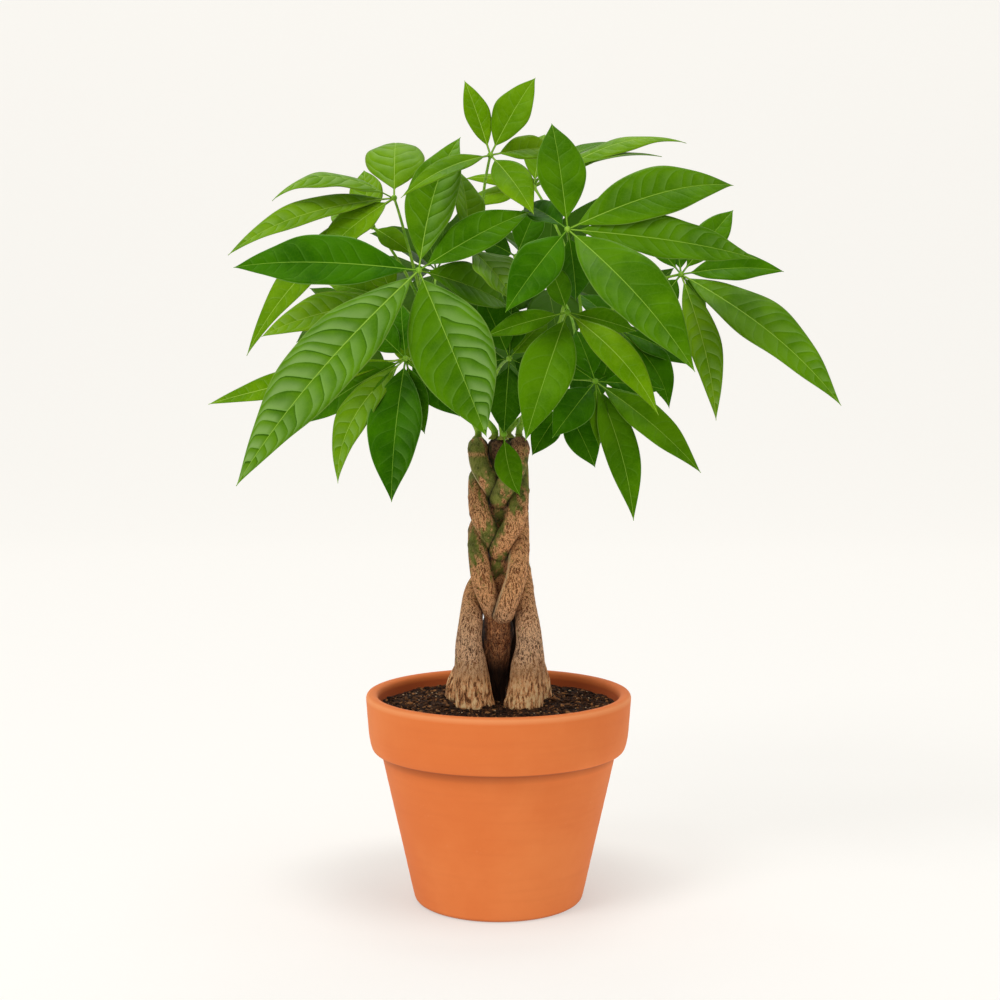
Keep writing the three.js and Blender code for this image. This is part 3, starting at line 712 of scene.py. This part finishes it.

# The crown is laid out on the upright plane through the trunks, as seen from a point 1.23 m in front;
# each point then moves along its line of sight to its own depth. A shoot's points and a hub are x, z, depth.
# Leaflet rows: x, z, depth of the tip, width, lift, then for some its sideways bow and the way it faces.
# The front leaves' broad leaflets have the finest grids.
# Tones: -1 dark with painted shade deep in the crown, 0 deep green, 1 yellow green, partly the leaves' own
# colour and partly painted light; the last one goes for all leaflets that follow.
# Pale sheen: share of painted soft sheen on the two halves of a leaflet.
crown = {
    "station": (1.0, -1232.0, 397.0),
    "shoot": {"radius": 2.8, "taper": 1.3, "steps": 161, "around": 24},
    "stalk": {"radius": 1.1, "steps": 64, "around": 14},
    "hub": {"radius": 2.3, "rows": 9, "around": 16, "pole": 0.12},
    "thickness": 0.55,
    "fold": 0.22,
    "ownFold": -0.2,
    "fineBefore": 15,
    "fineWidth": 25,
    "stems": [
        {"node": "leafy_stem_front_left", "trunk": 3,
         "shoot": [(-20, 373, -14), (-38, 400, -22), (-48, 425, -28)]},
        {"node": "leafy_stem_back_left", "trunk": 2,
         "shoot": [(-28, 376, 18), (-46, 414, 30), (-55, 446, 34)]},
        {"node": "leafy_stem_centre", "trunk": 1, "shoot": [(-4, 390, 0), (-6, 430, 4), (-12, 470, 6)]},
        {"node": "leafy_stem_front_right", "trunk": 0,
         "shoot": [(24, 376, -16), (36, 404, -24), (44, 430, -30)]},
        {"node": "leafy_stem_back_right", "trunk": 4, "shoot": [(40, 380, 16), (60, 410, 26), (74, 432, 30)]},
    ],
    "leaves": {
        "broadFrontLeft": {"stem": 0, "from": 0.9, "hub": (-59, 473, -105), "face": (-0.1, -0.9, 0.42),
            "quilt": 1.0, "tones": (-0.08, 0.38, 0.32, 0.3, 0.2, 0.3),
            "paleSheen": {1: (0.85, 0.4), 2: (0.05, 0.7), 3: (0.35, 0.0)},
            "leaflets": [(-196, 475, -90, 39, 0.07), (-196, 313, -165, 48, 0.08), (-9, 350, -118, 56, 0.08),
                (-28, 570, -60, 36, 0.06, 4), (24, 516, -81, 30, 0.06), (7, 446, -45, 32, 0.06)]},
        "lowLeft": {"stem": 0, "from": 0.6, "hub": (-69, 408, -40), "face": (-0.2, -0.9, 0.4), "quilt": 0.8,
            "tones": (0.0, 0.75, 0.1, 0.8, -0.2, 0.1, 0.0, 0.0), "paleSheen": {0: (0.0, 0.1), 1: (0.2, 0.3)},
            "leaflets": [(-80, 301, -70, 40, 0.07), (-120, 315, -60, 25, 0.07, -10),
                (-146, 359, -30, 30, 0.07), (-216, 374, 10, 22, 0.08, 5), (-29, 365, -45, 24, 0.05),
                (-55, 352, -50, 20, 0.05), (-101, 438, -20, 24, 0.05), (-72, 448, -20, 18, 0.05)]},
        "upperLeft": {"stem": 1, "from": 1.0, "hub": (-77, 526, 0), "face": (-0.1, -0.75, 0.66), "quilt": 0.7,
            "tones": (0.75, 0.7, 0.8, 0.8, 0.9), "paleSheen": {0: (0.1, 0.3), 1: (0.4, 0.4), 2: (0.2, 0.2)},
            "leaflets": [(-75, 564, 70, 45, 0.17, 0, 0, -0.3, 1), (-167, 524, -10, 26, 0.2, 0, 0, -0.5, 0.85),
                (-200, 484, -10, 26, 0.1), (-187, 410, -25, 30, 0.07, -4), (-133, 479, -20, 30, 0.07)]},
        "behindUpperLeft": {"stem": 1, "from": 0.85, "hub": (-93, 505, 45), "face": (-0.2, -0.9, 0.4),
            "quilt": 0.5, "tones": (1.0, 0.6, 1.0), "paleSheen": {0: (0.3, 0.3), 2: (0.3, 0.3)},
            "leaflets": [(-99, 546, 70, 27, 0.06), (-64, 485, 25, 17, 0.06), (-124, 514, 80, 22, 0.06)]},
        "middleLeft": {"stem": 1, "from": 0.7, "hub": (-77, 451, 35), "face": (-0.2, -0.85, 0.5),
            "quilt": 0.6, "tones": (1.0, 0.7, 0.7, 0.7), "paleSheen": {0: (0.25, 0.2)},
            "leaflets": [(-176, 424, 40, 32, 0.08), (-125, 462, 60, 22, 0.06), (-91, 484, 60, 22, 0.06),
                (-58, 398, 60, 28, 0.06)]},
        "rearLeft": {"stem": 1, "from": 0.55, "hub": (-46, 473, 110), "face": (-0.2, 0.7, 0.7), "quilt": 0.6,
            "tones": (0.3,),
            "leaflets": [(-95, 500, 150, 34, 0.08), (-60, 530, 130, 30, 0.06), (-10, 520, 150, 30, 0.06),
                (-110, 455, 160, 36, 0.1), (-60, 420, 170, 40, 0.1), (-15, 440, 180, 34, 0.1)]},
        "rearFarLeft": {"stem": 1, "from": 0.4, "hub": (-103, 428, 80), "face": (-0.5, 0.6, 0.6),
            "quilt": 0.6, "tones": (0.4,),
            "leaflets": [(-150, 420, 120, 28, 0.08), (-125, 385, 110, 32, 0.1), (-85, 375, 110, 28, 0.1),
                (-140, 460, 110, 26, 0.06), (-88, 470, 120, 24, 0.06)]},
        "crownTop": {"stem": 2, "from": 0.95, "hub": (-6, 557, -60), "face": (0, -0.85, 0.5), "quilt": 0.5,
            "tones": (0.95, 0.6, 0.9, 0.75, 0.6),
            "leaflets": [(-25, 611, -55, 18, 0.05), (27, 613, -60, 27, 0.06), (45, 561, -40, 22, 0.06),
                (26, 514, -95, 26, 0.08), (-72, 526, -125, 16, 0.08)]},
        "innerMiddle": {"stem": 2, "from": 0.45, "hub": (8, 408, -35), "face": (0, -0.9, 0.4), "quilt": 0.5,
            "tones": (-0.5, -0.5, -0.2, -0.5, 0.4, -0.4),
            "leaflets": [(4, 352, -45, 28, 0.07), (-25, 400, -20, 22, 0.06), (-14, 456, -40, 28, 0.06),
                (10, 450, -30, 24, 0.06), (37, 438, -30, 24, 0.06), (38, 393, -40, 20, 0.06)]},
        "behindBroad": {"stem": 2, "from": 0.98, "hub": (-23, 491, -82), "face": (0.65, -0.65, 0.3),
            "quilt": 1.0, "tones": (0.7, 0.55), "paleSheen": {0: (0.3, 0.8)},
            "leaflets": [(12, 448, -98, 42, 0.06), (-30, 546, -50, 30, 0.06)]},
        "middle": {"stem": 2, "from": 0.6, "hub": (13, 483, -5), "face": (0, -0.9, 0.4), "quilt": 0.7,
            "tones": (-0.3, 0.0),
            "leaflets": [(-21, 498, -25, 24, 0.06), (30, 522, 10, 24, 0.06)]},
        "onTheTrunk": {"stem": 2, "from": 0.1, "hub": (4, 352, -29), "face": (0, -1, 0.2), "quilt": 0.4,
            "tones": (0.4,),
            "leaflets": [(16, 306, -38, 20, 0.08, -3)]},
        "broadFrontRight": {"stem": 3, "from": 1.0, "hub": (51, 503, -95), "face": (0.1, -0.88, 0.45),
            "quilt": 0.6, "tones": (0.25, 0.38, 0.24, 0.28, 0.05, 0.0, -0.1),
            "paleSheen": {1: (0.0, 0.1), 2: (0.05, 0.15), 3: (0.1, 0.0)},
            "leaflets": [(39, 580, -70, 34, 0.06), (173, 535, -60, 39, 0.08, 3),
                (191, 481, -75, 33, 0.08, -3), (146, 398, -150, 46, 0.08), (5, 442, -120, 32, 0.08),
                (57, 451, -72, 26, 0.06), (19, 521, -55, 24, 0.05)]},
        "lowFront": {"stem": 3, "from": 0.8, "hub": (51, 442, -85), "face": (0, -0.92, 0.35), "quilt": 0.4,
            "tones": (0.35, 0.35, 0.88, 0.3, 0.15),
            "leaflets": [(-10, 424, -90, 17, 0.07), (20, 347, -120, 37, 0.08), (119, 366, -120, 23, 0.08, 4),
                (102, 428, -80, 18, 0.06), (36, 481, -100, 18, 0.05)]},
        "lowRight": {"stem": 3, "from": 0.5, "hub": (72, 391, -45), "face": (0.1, -0.9, 0.4), "quilt": 0.4,
            "tones": (0.3, 0.3, -0.1, 0.0, 0.0, 0.0, 0.3),
            "leaflets": [(151, 323, -80, 25, 0.08), (101, 287, -75, 26, 0.08, 2), (40, 349, -70, 28, 0.06),
                (123, 385, -40, 18, 0.06), (57, 429, -30, 24, 0.05), (46, 407, -40, 18, 0.05),
                (75, 342, -65, 14, 0.05)]},
        "farRight": {"stem": 4, "from": 1.0, "hub": (135, 470, 10), "face": (0.2, -0.85, 0.5), "quilt": 0.4,
            "tones": (0.2, 0.45, 0.9, 0.2, 0.1, 0.1, 0.2, 0.3), "paleSheen": {1: (0.08, 0.2), 2: (0.2, 0.3)},
            "leaflets": [(211, 472, 0, 25, 0.08), (255, 373, -60, 42, 0.08), (162, 362, -30, 26, 0.08),
                (173, 517, 40, 24, 0.06), (101, 503, 30, 20, 0.06), (128, 499, 40, 18, 0.06),
                (109, 436, 0, 22, 0.06), (154, 442, 20, 12, 0.05)]},
        "behindCrownTop": {"stem": 4, "from": 0.65, "hub": (26, 534, 45), "face": (0, -0.25, 1), "quilt": 0.4,
            "tones": (0.8, 0.7, 0.5, 0.8, 0.9, 0.6, 1.0, 1.0, 1.0), "paleSheen": {0: (0.1, 0.1)},
            "leaflets": [(138, 566, 80, 24, 0.12, 0, 0, -0.5, 0.85), (120, 556, 60, 24, 0.08),
                (97, 562, 110, 16, 0.12), (-25, 540, 50, 12, 0.08, 0, 0, -0.8, 0.6),
                (-27, 521, 60, 19, 0.06, 0, 0, -0.8, 0.6), (34, 572, 90, 24, 0.08), (20, 543, 38, 6, 0.1),
                (33, 542, 40, 6, 0.1), (19, 528, 38, 6, 0.1)]},
        "middleRight": {"stem": 4, "from": 0.75, "hub": (89, 429, 30), "face": (0.1, -0.8, 0.6), "quilt": 0.4,
            "tones": (0.0,),
            "leaflets": [(142, 403, 20, 27, 0.07), (127, 371, 0, 28, 0.07, 5), (100, 465, 60, 22, 0.06),
                (60, 455, 60, 22, 0.06), (75, 385, 20, 24, 0.06)]},
        "innerRight": {"stem": 4, "from": 0.45, "hub": (49, 374, -10), "face": (0, -0.9, 0.45), "quilt": 0.4,
            "tones": (-0.1,),
            "leaflets": [(72, 327, -20, 26, 0.08), (25, 336, -15, 22, 0.08), (80, 395, 20, 26, 0.06),
                (15, 385, 20, 20, 0.06)]},
        "rearMiddle": {"stem": 4, "from": 0.55, "hub": (36, 463, 120), "face": (0.1, 0.7, 0.7), "quilt": 0.6,
            "tones": (0.2,),
            "leaflets": [(75, 527, 150, 30, 0.06), (40, 525, 130, 28, 0.06), (0, 500, 170, 32, 0.08),
                (90, 440, 170, 43, 0.1), (45, 405, 180, 47, 0.1), (-2, 440, 165, 43, 0.1)]},
        "lowRear": {"stem": 4, "from": 0.6, "hub": (-8, 417, 140), "face": (0, 0.8, 0.6), "quilt": 0.6,
            "tones": (0.1,),
            "leaflets": [(-55, 400, 190, 34, 0.1), (-20, 370, 180, 36, 0.1), (30, 380, 190, 42, 0.1),
                (40, 430, 190, 40, 0.08), (-45, 445, 180, 30, 0.08)]},
        "rearRight": {"stem": 4, "from": 0.65, "hub": (93, 437, 90), "face": (0.5, 0.6, 0.6), "quilt": 0.6,
            "tones": (0.2,),
            "leaflets": [(135, 425, 130, 30, 0.08), (120, 380, 120, 30, 0.1), (85, 375, 140, 30, 0.1),
                (130, 475, 120, 26, 0.06), (70, 480, 120, 26, 0.06)]},
    },
}


def seen(x, z, depth):
    sx, sy, sz = crown["station"]
    reach = (depth - sy) / -sy
    return np.array([sx + (x - sx) * reach, depth, sz + (z - sz) * reach])


def leafLook():
    # glossy green; between two side veins painted shade makes the blade darkest just past the one and painted
    # light lightens it up to the next, every second vein is short and faint, and the painted pale sheen follows
    # the same rhythm
    look = Look("foliage")
    mix, span, times, most = look.mix, look.span, look.times, look.most
    tone, rib, phase, edge, under, quilt, paleSheen = (
        look.value(name) for name in ("tone", "rib", "phase", "edge", "under", "quilt", "paleSheen"))
    patch = span(look.noise(34.0, 3.0, 0.55), 0.35, 0.65)
    fine = look.noise(520.0, 3.0, 0.6)
    # share towards the light greens: partly the leaves' own yellow-green, partly painted light; below 0,
    # painted shade for leaves deep in the crown
    yellowAndLit = most(tone, 0.0)
    crownShade = most(times(tone, -1.0), 0.0)

    def lay(share, before, deep, light):
        # one colour for the deep green leaves and one for the light ones
        return mix(share, before, mix(yellowAndLit, deep, light))

    def veinFade(odd):
        # long and clear for an even vein, short and faint for an odd one
        first = span(odd, 0.0, 1.0, (0.82, 0.4))
        last = span(odd, 0.0, 1.0, (1.0, 0.75))
        return span(edge, first, last, (span(odd, 0.0, 1.0, (1.0, 0.6)), 0.0))

    deep = mix(patch, (44, 100, 0), (64, 124, 0))
    light = mix(patch, (104, 154, 0), (130, 176, 10))
    base = mix(crownShade, mix(yellowAndLit, deep, light), (14, 46, 0))
    # part of the way from one side vein to the next, 0 at the vein
    part = look.math("FRACT", phase)
    odd = look.math("GREATER_THAN", look.math("FRACT", times(phase, 0.5)), 0.5)
    fade = veinFade(odd)
    # how strongly the painted light and shade of the puffed cells show
    reliefShading = look.math("ADD", times(paleSheen, 0.85), times(quilt, 0.3))
    nearNext = times(reliefShading, veinFade(look.rest(odd)))
    # a net of finer veins
    net = look.add("TexVoronoi", {"Vector": look.place(), "Scale": 330.0}, feature="DISTANCE_TO_EDGE")
    base = lay(span(net.outputs["Distance"], 0.0, 0.12, (0.13, 0.0)), base, (92, 142, 20), (156, 196, 60))
    across = times(span(edge, 0.02, 0.25, (0.35, 1.0)), span(edge, 0.66, 0.95, (1.0, 0.45)))
    # painted sheen, rising from one side vein towards the next
    sheen = times(times(paleSheen, across), span(part, 0.15, 0.95, (0.05, 0.75)))
    base = mix(sheen, base, (152, 188, 112))
    # painted light: the blade lightens towards the next vein
    lift = times(span(part, 0.35, 1.0, (0.0, 0.3)), nearNext)
    base = lay(lift, base, (104, 160, 50), (166, 204, 84))
    # painted shade in the crease just past each vein
    creaseShade = times(span(part, 0.02, 0.19, (0.65, 0.0)), times(reliefShading, fade))
    base = lay(creaseShade, base, (16, 60, 0), (46, 98, 4))
    # pale line along each side vein: partly the vein's own colour, partly painted highlight
    vein = times(span(part, 0.86, 0.95), nearNext)
    base = lay(times(vein, 0.7), base, (104, 158, 54), (164, 204, 106))
    onRib = span(rib, 0.25, 0.62, (1.0, 0.0))
    base = lay(onRib, base, (146, 194, 62), (186, 220, 92))
    base = lay(span(edge, 0.955, 0.99, (0.0, 0.6)), base, (136, 184, 84), (142, 150, 64))
    back = mix(yellowAndLit, (48, 92, 14), (104, 150, 40))
    back = mix(times(onRib, 0.7), back, (140, 176, 76))
    base = mix(under, base, back)
    ridge = look.math("POWER", look.rest(times(look.fromHalf(part), 2.0)), 0.5)
    body = look.bump(times(ridge, fade), 0.35, 0.0007)
    look.coat(base, span(fine, 0.3, 0.7, (0.36, 0.48)), 0.07, look.bump(fine, 0.06, 0.0004, body))
    look.put(look.surface, "Specular Tint", (0.75, 1.0, 0.3, 1.0))
    # some light comes through the blade
    through = look.add("BsdfTranslucent", {"Color": mix(0.5, base, (130, 195, 0))})
    blend = look.add("MixShader", {0: 0.12, 1: look.surface.outputs[0], 2: through.outputs[0]})
    look.put(look.nodes["Material Output"], 0, blend.outputs[0])
    return look.material


def stalkLook():
    look = Look("stalk")
    fibre = look.noise(300.0, 4.0, 0.6, stretch=(1.0, 1.0, 0.2))
    streak = look.span(fibre, 0.35, 0.65)
    green = look.mix(streak, (106, 160, 26), (150, 194, 62))
    woody = look.mix(streak, (86, 74, 26), (146, 128, 62))
    return look.coat(look.mix(look.value("tone"), green, woody), 0.5, 0.15, look.bump(fibre, 0.2, 0.0006))


def halfWidth(along, length, width):
    # slim stalk, then a long oval: u ** 1.05 * (1 - u) ** 1.25, scaled to reach 1
    stalk = min(7.0 / length, 0.12)
    u = np.clip((along - stalk) / (1 - stalk), 0, 1)
    oval = u ** 1.05 * (1 - u) ** 1.25 * 4.87
    return np.maximum(0.75 * (1 - 0.7 * along), width / 2 * oval)


def leaflet(hub, tip, width, face, lift, bow, fold, quilt, paleSheen, rng, fine):
    # surface over along 0-1 and across -1-1: middle line from hub to tip with its lift and bow,
    # both halves rising from it, puffed up between the side veins, with a gently waved edge
    chord = tip - hub
    length = float(np.linalg.norm(chord))
    ahead = chord / length
    up = unit(face - ahead * (face @ ahead))
    side = np.cross(up, ahead)
    rows, half = (88, 11) if fine else (48, 8)
    s = np.concatenate([np.linspace(0, 0.05, 4)[:-1], np.linspace(0.05, 0.97, rows - 6), [0.985, 0.995, 1.0]])
    s = s[:, None]
    q = np.linspace(0, 1, half) ** 1.15
    q = np.concatenate([-q[:0:-1], q])[None, :]
    reach = np.abs(q)
    wide = halfWidth(s, length, width)
    # count of side veins passed at each point; a vein slants towards the tip, less near the edge
    veins = round(float(np.clip(length / 10.0, 8, 17)))
    shift = 0.012 * np.sin(2 * np.pi * (s * 3.1 + rng.uniform(0, 1)))
    shift = shift + 0.006 * np.sin(2 * np.pi * (s * 7.3 + rng.uniform(0, 1)))
    phase = veins * (s + shift - (0.6 * reach + 0.2 * reach ** 3) * wide / length) + rng.uniform(0, 1)
    # near the edge each vein loops on towards the next one
    phase = phase - 0.8 * ease((reach - 0.7) / 0.3)
    phase = np.where(q > 0, phase + 0.45, phase)
    part = phase - np.floor(phase)
    # height: the fold, the puffs between veins, higher where the blade has more painted sheen, and the waved
    # edge
    scale = np.where(part < 0.3, np.sin(np.pi / 2 * part / 0.3), np.cos(np.pi / 2 * (part - 0.3) / 0.7) ** 0.8)
    puff = scale * np.sin(np.pi * reach) ** 0.7 * (0.3 * quilt + quilt ** 2) * np.clip(wide / 18.0, 0, 1)
    sheenShare = paleSheen[0] + (paleSheen[1] - paleSheen[0]) * ease(0.5 + 6 * q)
    puff = puff * (0.24 + 0.34 * sheenShare) * rng.uniform(0.8, 1.0)
    rise = fold * np.sqrt((reach * wide) ** 2 + 0.6) + 0.16 * wide * (reach - reach ** 2)
    tall = rng.uniform(0.4, 0.9)
    beat = s * rng.uniform(2.2, 3.4) + rng.uniform(0, 1) + 0.25 * np.sign(q)
    wave = tall * np.sin(2 * np.pi * beat) * reach ** 2 * np.clip(wide / 15.0, 0, 1) * 1.3
    height = rise + puff + wave
    arch = 4 * s * (1 - s) * (0.75 + 0.5 * s)
    sheet = hub + chord * s[..., None] + up * (arch * lift * length)[..., None]
    sheet = sheet + side * (arch * bow + q * wide)[..., None]
    thick = crown["thickness"] * (1 - 0.6 * reach ** 3)
    # the middle rib stands out below and lies in a groove above
    ribWide = (1.0 - 0.75 * s) * 0.85 * np.clip(length / 140.0, 0.6, 1.2)
    ribBelow = 0.9 * np.exp(-(q * wide / np.maximum(ribWide, 0.2)) ** 2) * (1 - 0.8 * s)
    groove = 0.35 * bell(q * wide, 0.0, 0.7) * (1 - 0.6 * s)
    upper = sheet + up * (height + thick / 2 - groove)[..., None]
    lower = sheet + up * (height - thick / 2 - ribBelow)[..., None]
    m, n = height.shape
    count = n * m
    points = np.vstack([upper.reshape(-1, 3), lower.reshape(-1, 3)])
    r, c, last = np.arange(m - 1) * n, np.arange(n - 1), (m - 1) * n
    left = np.stack([r, r + n, r + n + count, r + count], axis=1)
    right = np.stack([r + n - 1, r + n - 1 + count, r + 2 * n - 1 + count, r + 2 * n - 1], axis=1)
    foot = np.stack([c, c + count, c + 1 + count, c + 1], axis=1)
    end = np.stack([last + c, last + c + 1, last + c + 1 + count, last + c + count], axis=1)
    rim = np.vstack([left, right, foot, end])[:, ::-1]
    faces = [gridFaces(m, n, 0, flip=True), gridFaces(m, n, count), rim]

    def both(grid):
        return np.concatenate([np.broadcast_to(grid, (m, n)).ravel()] * 2)

    values = {"rib": both(np.abs(q * wide) / np.maximum(ribWide, 0.25)), "edge": both(reach),
              "phase": both(phase), "quilt": np.full(2 * count, quilt),
              "paleSheen": both(sheenShare * (0.8 + 0.55 * s)), "under": np.repeat([0.0, 1.0], count)}
    return points, faces, values


def hubSurface(centre, start):
    # the little ball where the leaflets meet
    radius, rows, around, pole = crown["hub"].values()
    tilt = np.linspace(pole, np.pi - pole, rows)
    grid = ringGrid(np.sin(tilt), np.cos(tilt), around)
    points = np.vstack([grid.reshape(-1, 3), [[0, 0, 1]], [[0, 0, -1]]]) * radius + centre
    return points, closedFaces(rows, around, start, flip=True)


def stalkLine(centres, along, hub):
    # from the shoot outward in a soft bend to the leaf's hub: a cubic curve with two handles
    at = int(round(along * (len(centres) - 1)))
    start = centres[at]
    way = unit(centres[min(at + 1, len(centres) - 1)] - centres[max(at - 1, 0)])
    reach = np.linalg.norm(hub - start)
    first = start + way * reach * 0.35
    second = first + (hub - first) * 0.6 + np.array([0, 0, reach * 0.06])
    w = np.linspace(0, 1, crown["stalk"]["steps"])[:, None]
    line = (1 - w) ** 3 * start + 3 * w * (1 - w) ** 2 * first + 3 * w ** 2 * (1 - w) * second + w ** 3 * hub
    radii = crown["stalk"]["radius"] * (1.2 - 0.35 * w)
    radii = radii + 0.9 * bell(w, 0.0, 0.04) + 0.6 * bell(1 - w, 0.0, 0.03)
    return line, radii[:, 0]


def buildStems():
    leafMaterial, stalkMaterial = leafLook(), stalkLook()
    radius, taper, steps, around = crown["shoot"].values()
    for stemIndex, stem in enumerate(crown["stems"]):
        topPoint = strandCentres(stem["trunk"], np.array([braid["top"] + 0.3]))[0]
        path = [topPoint, topPoint + np.array([0, 0, 6.0])] + [seen(*p) for p in stem["shoot"]]
        centres = curveThrough(path, steps)
        centres[0] = topPoint
        t = np.linspace(0, 1, steps)
        rng = np.random.default_rng(200 + stemIndex)
        knots = sum(0.45 * bell(t, k, 0.012) for k in rng.uniform(0.08, 0.95, 6))
        radii = radius - taper * t + 1.8 * ease((0.12 - t) / 0.12) + knots - 0.9 * ease((t - 0.985) / 0.015)
        points, faces = rodSurface(centres, radii, around)
        woody = np.append(np.repeat(0.7 * ease((0.35 - t) / 0.3), around), [1.0, 0.0])
        shoot = makePiece(pieceName("shoot", stem["node"], "leafy_stem_"), points, faces, stalkMaterial,
                          values={"tone": woody})
        pieces = [shoot]
        grown = [(name, leaf) for name, leaf in crown["leaves"].items() if leaf["stem"] == stemIndex]
        for leafIndex, (name, leaf) in enumerate(grown):
            hub = seen(*leaf["hub"])
            line, radii = stalkLine(centres, leaf["from"], hub)
            points, faces = rodSurface(line, radii, crown["stalk"]["around"])
            ball, ballFaces = hubSurface(hub, len(points))
            points = np.vstack([points, ball])
            stalk = makePiece(name + "Stalk", points, faces + ballFaces, stalkMaterial,
                              values={"tone": np.zeros(len(points))})
            rng = np.random.default_rng(300 + 20 * stemIndex + leafIndex)
            points, faces, values, total = [], [], {}, 0
            for which, (x, z, depth, width, lift, *more) in enumerate(leaf["leaflets"]):
                bow, own = (more[0], more[1:]) if more else (0, None)
                face = unit(np.array(own or leaf["face"], dtype=float))
                fold = crown["ownFold"] if own else crown["fold"]
                paleSheen = leaf.get("paleSheen", {}).get(which, (0.0, 0.0))
                fine = hub[1] < crown["fineBefore"] and width > crown["fineWidth"]
                blade, bladeFaces, facts = leaflet(hub, seen(x, z, depth), width, face, lift, bow, fold,
                                                   leaf["quilt"], paleSheen, rng, fine)
                points.append(blade)
                faces.extend(f + total for f in bladeFaces)
                total += len(blade)
                tone = leaf["tones"][min(which, len(leaf["tones"]) - 1)] + rng.uniform(-0.06, 0.06)
                facts["tone"] = np.full(len(blade), tone)
                for key, value in facts.items():
                    values.setdefault(key, []).append(value)
            blades = makePiece(name + "Leaflets", np.vstack(points), faces, leafMaterial,
                               values={key: np.concatenate(value) for key, value in values.items()})
            pieces += [stalk, blades]
        for piece in pieces:
            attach(piece, "root")
            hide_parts(stem["node"])


buildStems()
print("stems and leaves made")

# camera place, its tilt down in degrees and its focal length in picture widths, fitted to the pot's rim and
# foot; the panels' places, aims, sizes and powers
stage = {
    "camera": (0.00105, -1.232, 0.397),
    "tilt": 4.38,
    "focal": 1.653,
    "sensor": 36.0,
    "panels": {
        "keyPanel": ((-1.3, -1.5, 2.3), (0, 0, 0.35), 1.0, 30.0),
        "fillPanel": ((1.6, -1.4, 1.2), (0, 0, 0.35), 1.6, 4.0),
        "topPanel": ((0.2, 0.6, 2.6), (0, 0, 0.4), 1.0, 14.0),
    },
}


def floorLook():
    # nearly even pale floor, with a painted shadow that lies beside the foot and a little behind it
    look = Look("paleFloor")
    away = look.add("VectorMath", {0: look.place()}, operation="LENGTH").outputs["Value"]
    moved = {"Vector": look.place(), "Location": (0.012, -0.045, 0.0), "Scale": (0.8, 1.0, 1.0)}
    moved = look.add("Mapping", moved).outputs[0]
    beside = look.add("VectorMath", {0: moved}, operation="LENGTH").outputs["Value"]
    # painted shadow: the glow is dimmed beside the foot
    shade = look.span(beside, 0.06, 0.15, (-0.16, 0.0))
    glow = look.math("ADD", look.span(away, 0.3, 2.6, (0.605, 0.66)), shade)
    look.put(look.surface, "Emission Color", (1.0, 0.975, 0.925, 1.0))
    look.put(look.surface, "Emission Strength", glow)
    return look.coat((0.4, 0.396, 0.385, 1.0), 0.9, 0.05)


def addObject(name, data, place, turned):
    holder = bpy.data.objects.new(name, data)
    scene.collection.objects.link(holder)
    holder.location = place
    holder.rotation_euler = turned
    return holder


def buildStage():
    # floor that curves up into a wall far behind
    t = np.linspace(0, np.pi / 2, 24)
    bend = [(2500 + 1500 * math.sin(a), 1500 * (1 - math.cos(a))) for a in t]
    profile = [(-3000.0, 0.0), *bend, (4000.0, 6000.0)]
    rows = np.array([[[x, y, z] for x in (-5000.0, 5000.0)] for y, z in profile])
    floor = makePiece("paleFloor", rows.reshape(-1, 3), [gridFaces(len(rows), 2, flip=True)], floorLook())

    world = bpy.data.worlds.new("softRoom")
    scene.world = world
    world.use_nodes = True
    background = world.node_tree.nodes["Background"]
    background.inputs["Color"].default_value = (1.0, 0.99, 0.97, 1.0)
    background.inputs["Strength"].default_value = 0.5

    for name, (place, aim, size, power) in stage["panels"].items():
        light = bpy.data.lights.new(name, "AREA")
        light.shape = "DISK"
        light.size = size
        light.energy = power
        x, y, z = np.array(aim) - np.array(place)
        addObject(name, light, place, (math.atan2(math.hypot(x, y), -z), 0.0, math.atan2(y, x) - math.pi / 2))

    camera = bpy.data.cameras.new("photoCamera")
    camera.sensor_width = stage["sensor"]
    camera.lens = stage["sensor"] * stage["focal"]
    camera.clip_end = 30.0
    upright = (math.radians(90 - stage["tilt"]), 0.0, 0.0)
    scene.camera = addObject("photoCamera", camera, stage["camera"], upright)
    scene.view_settings.view_transform = "Standard"


buildStage()
print("stage made")
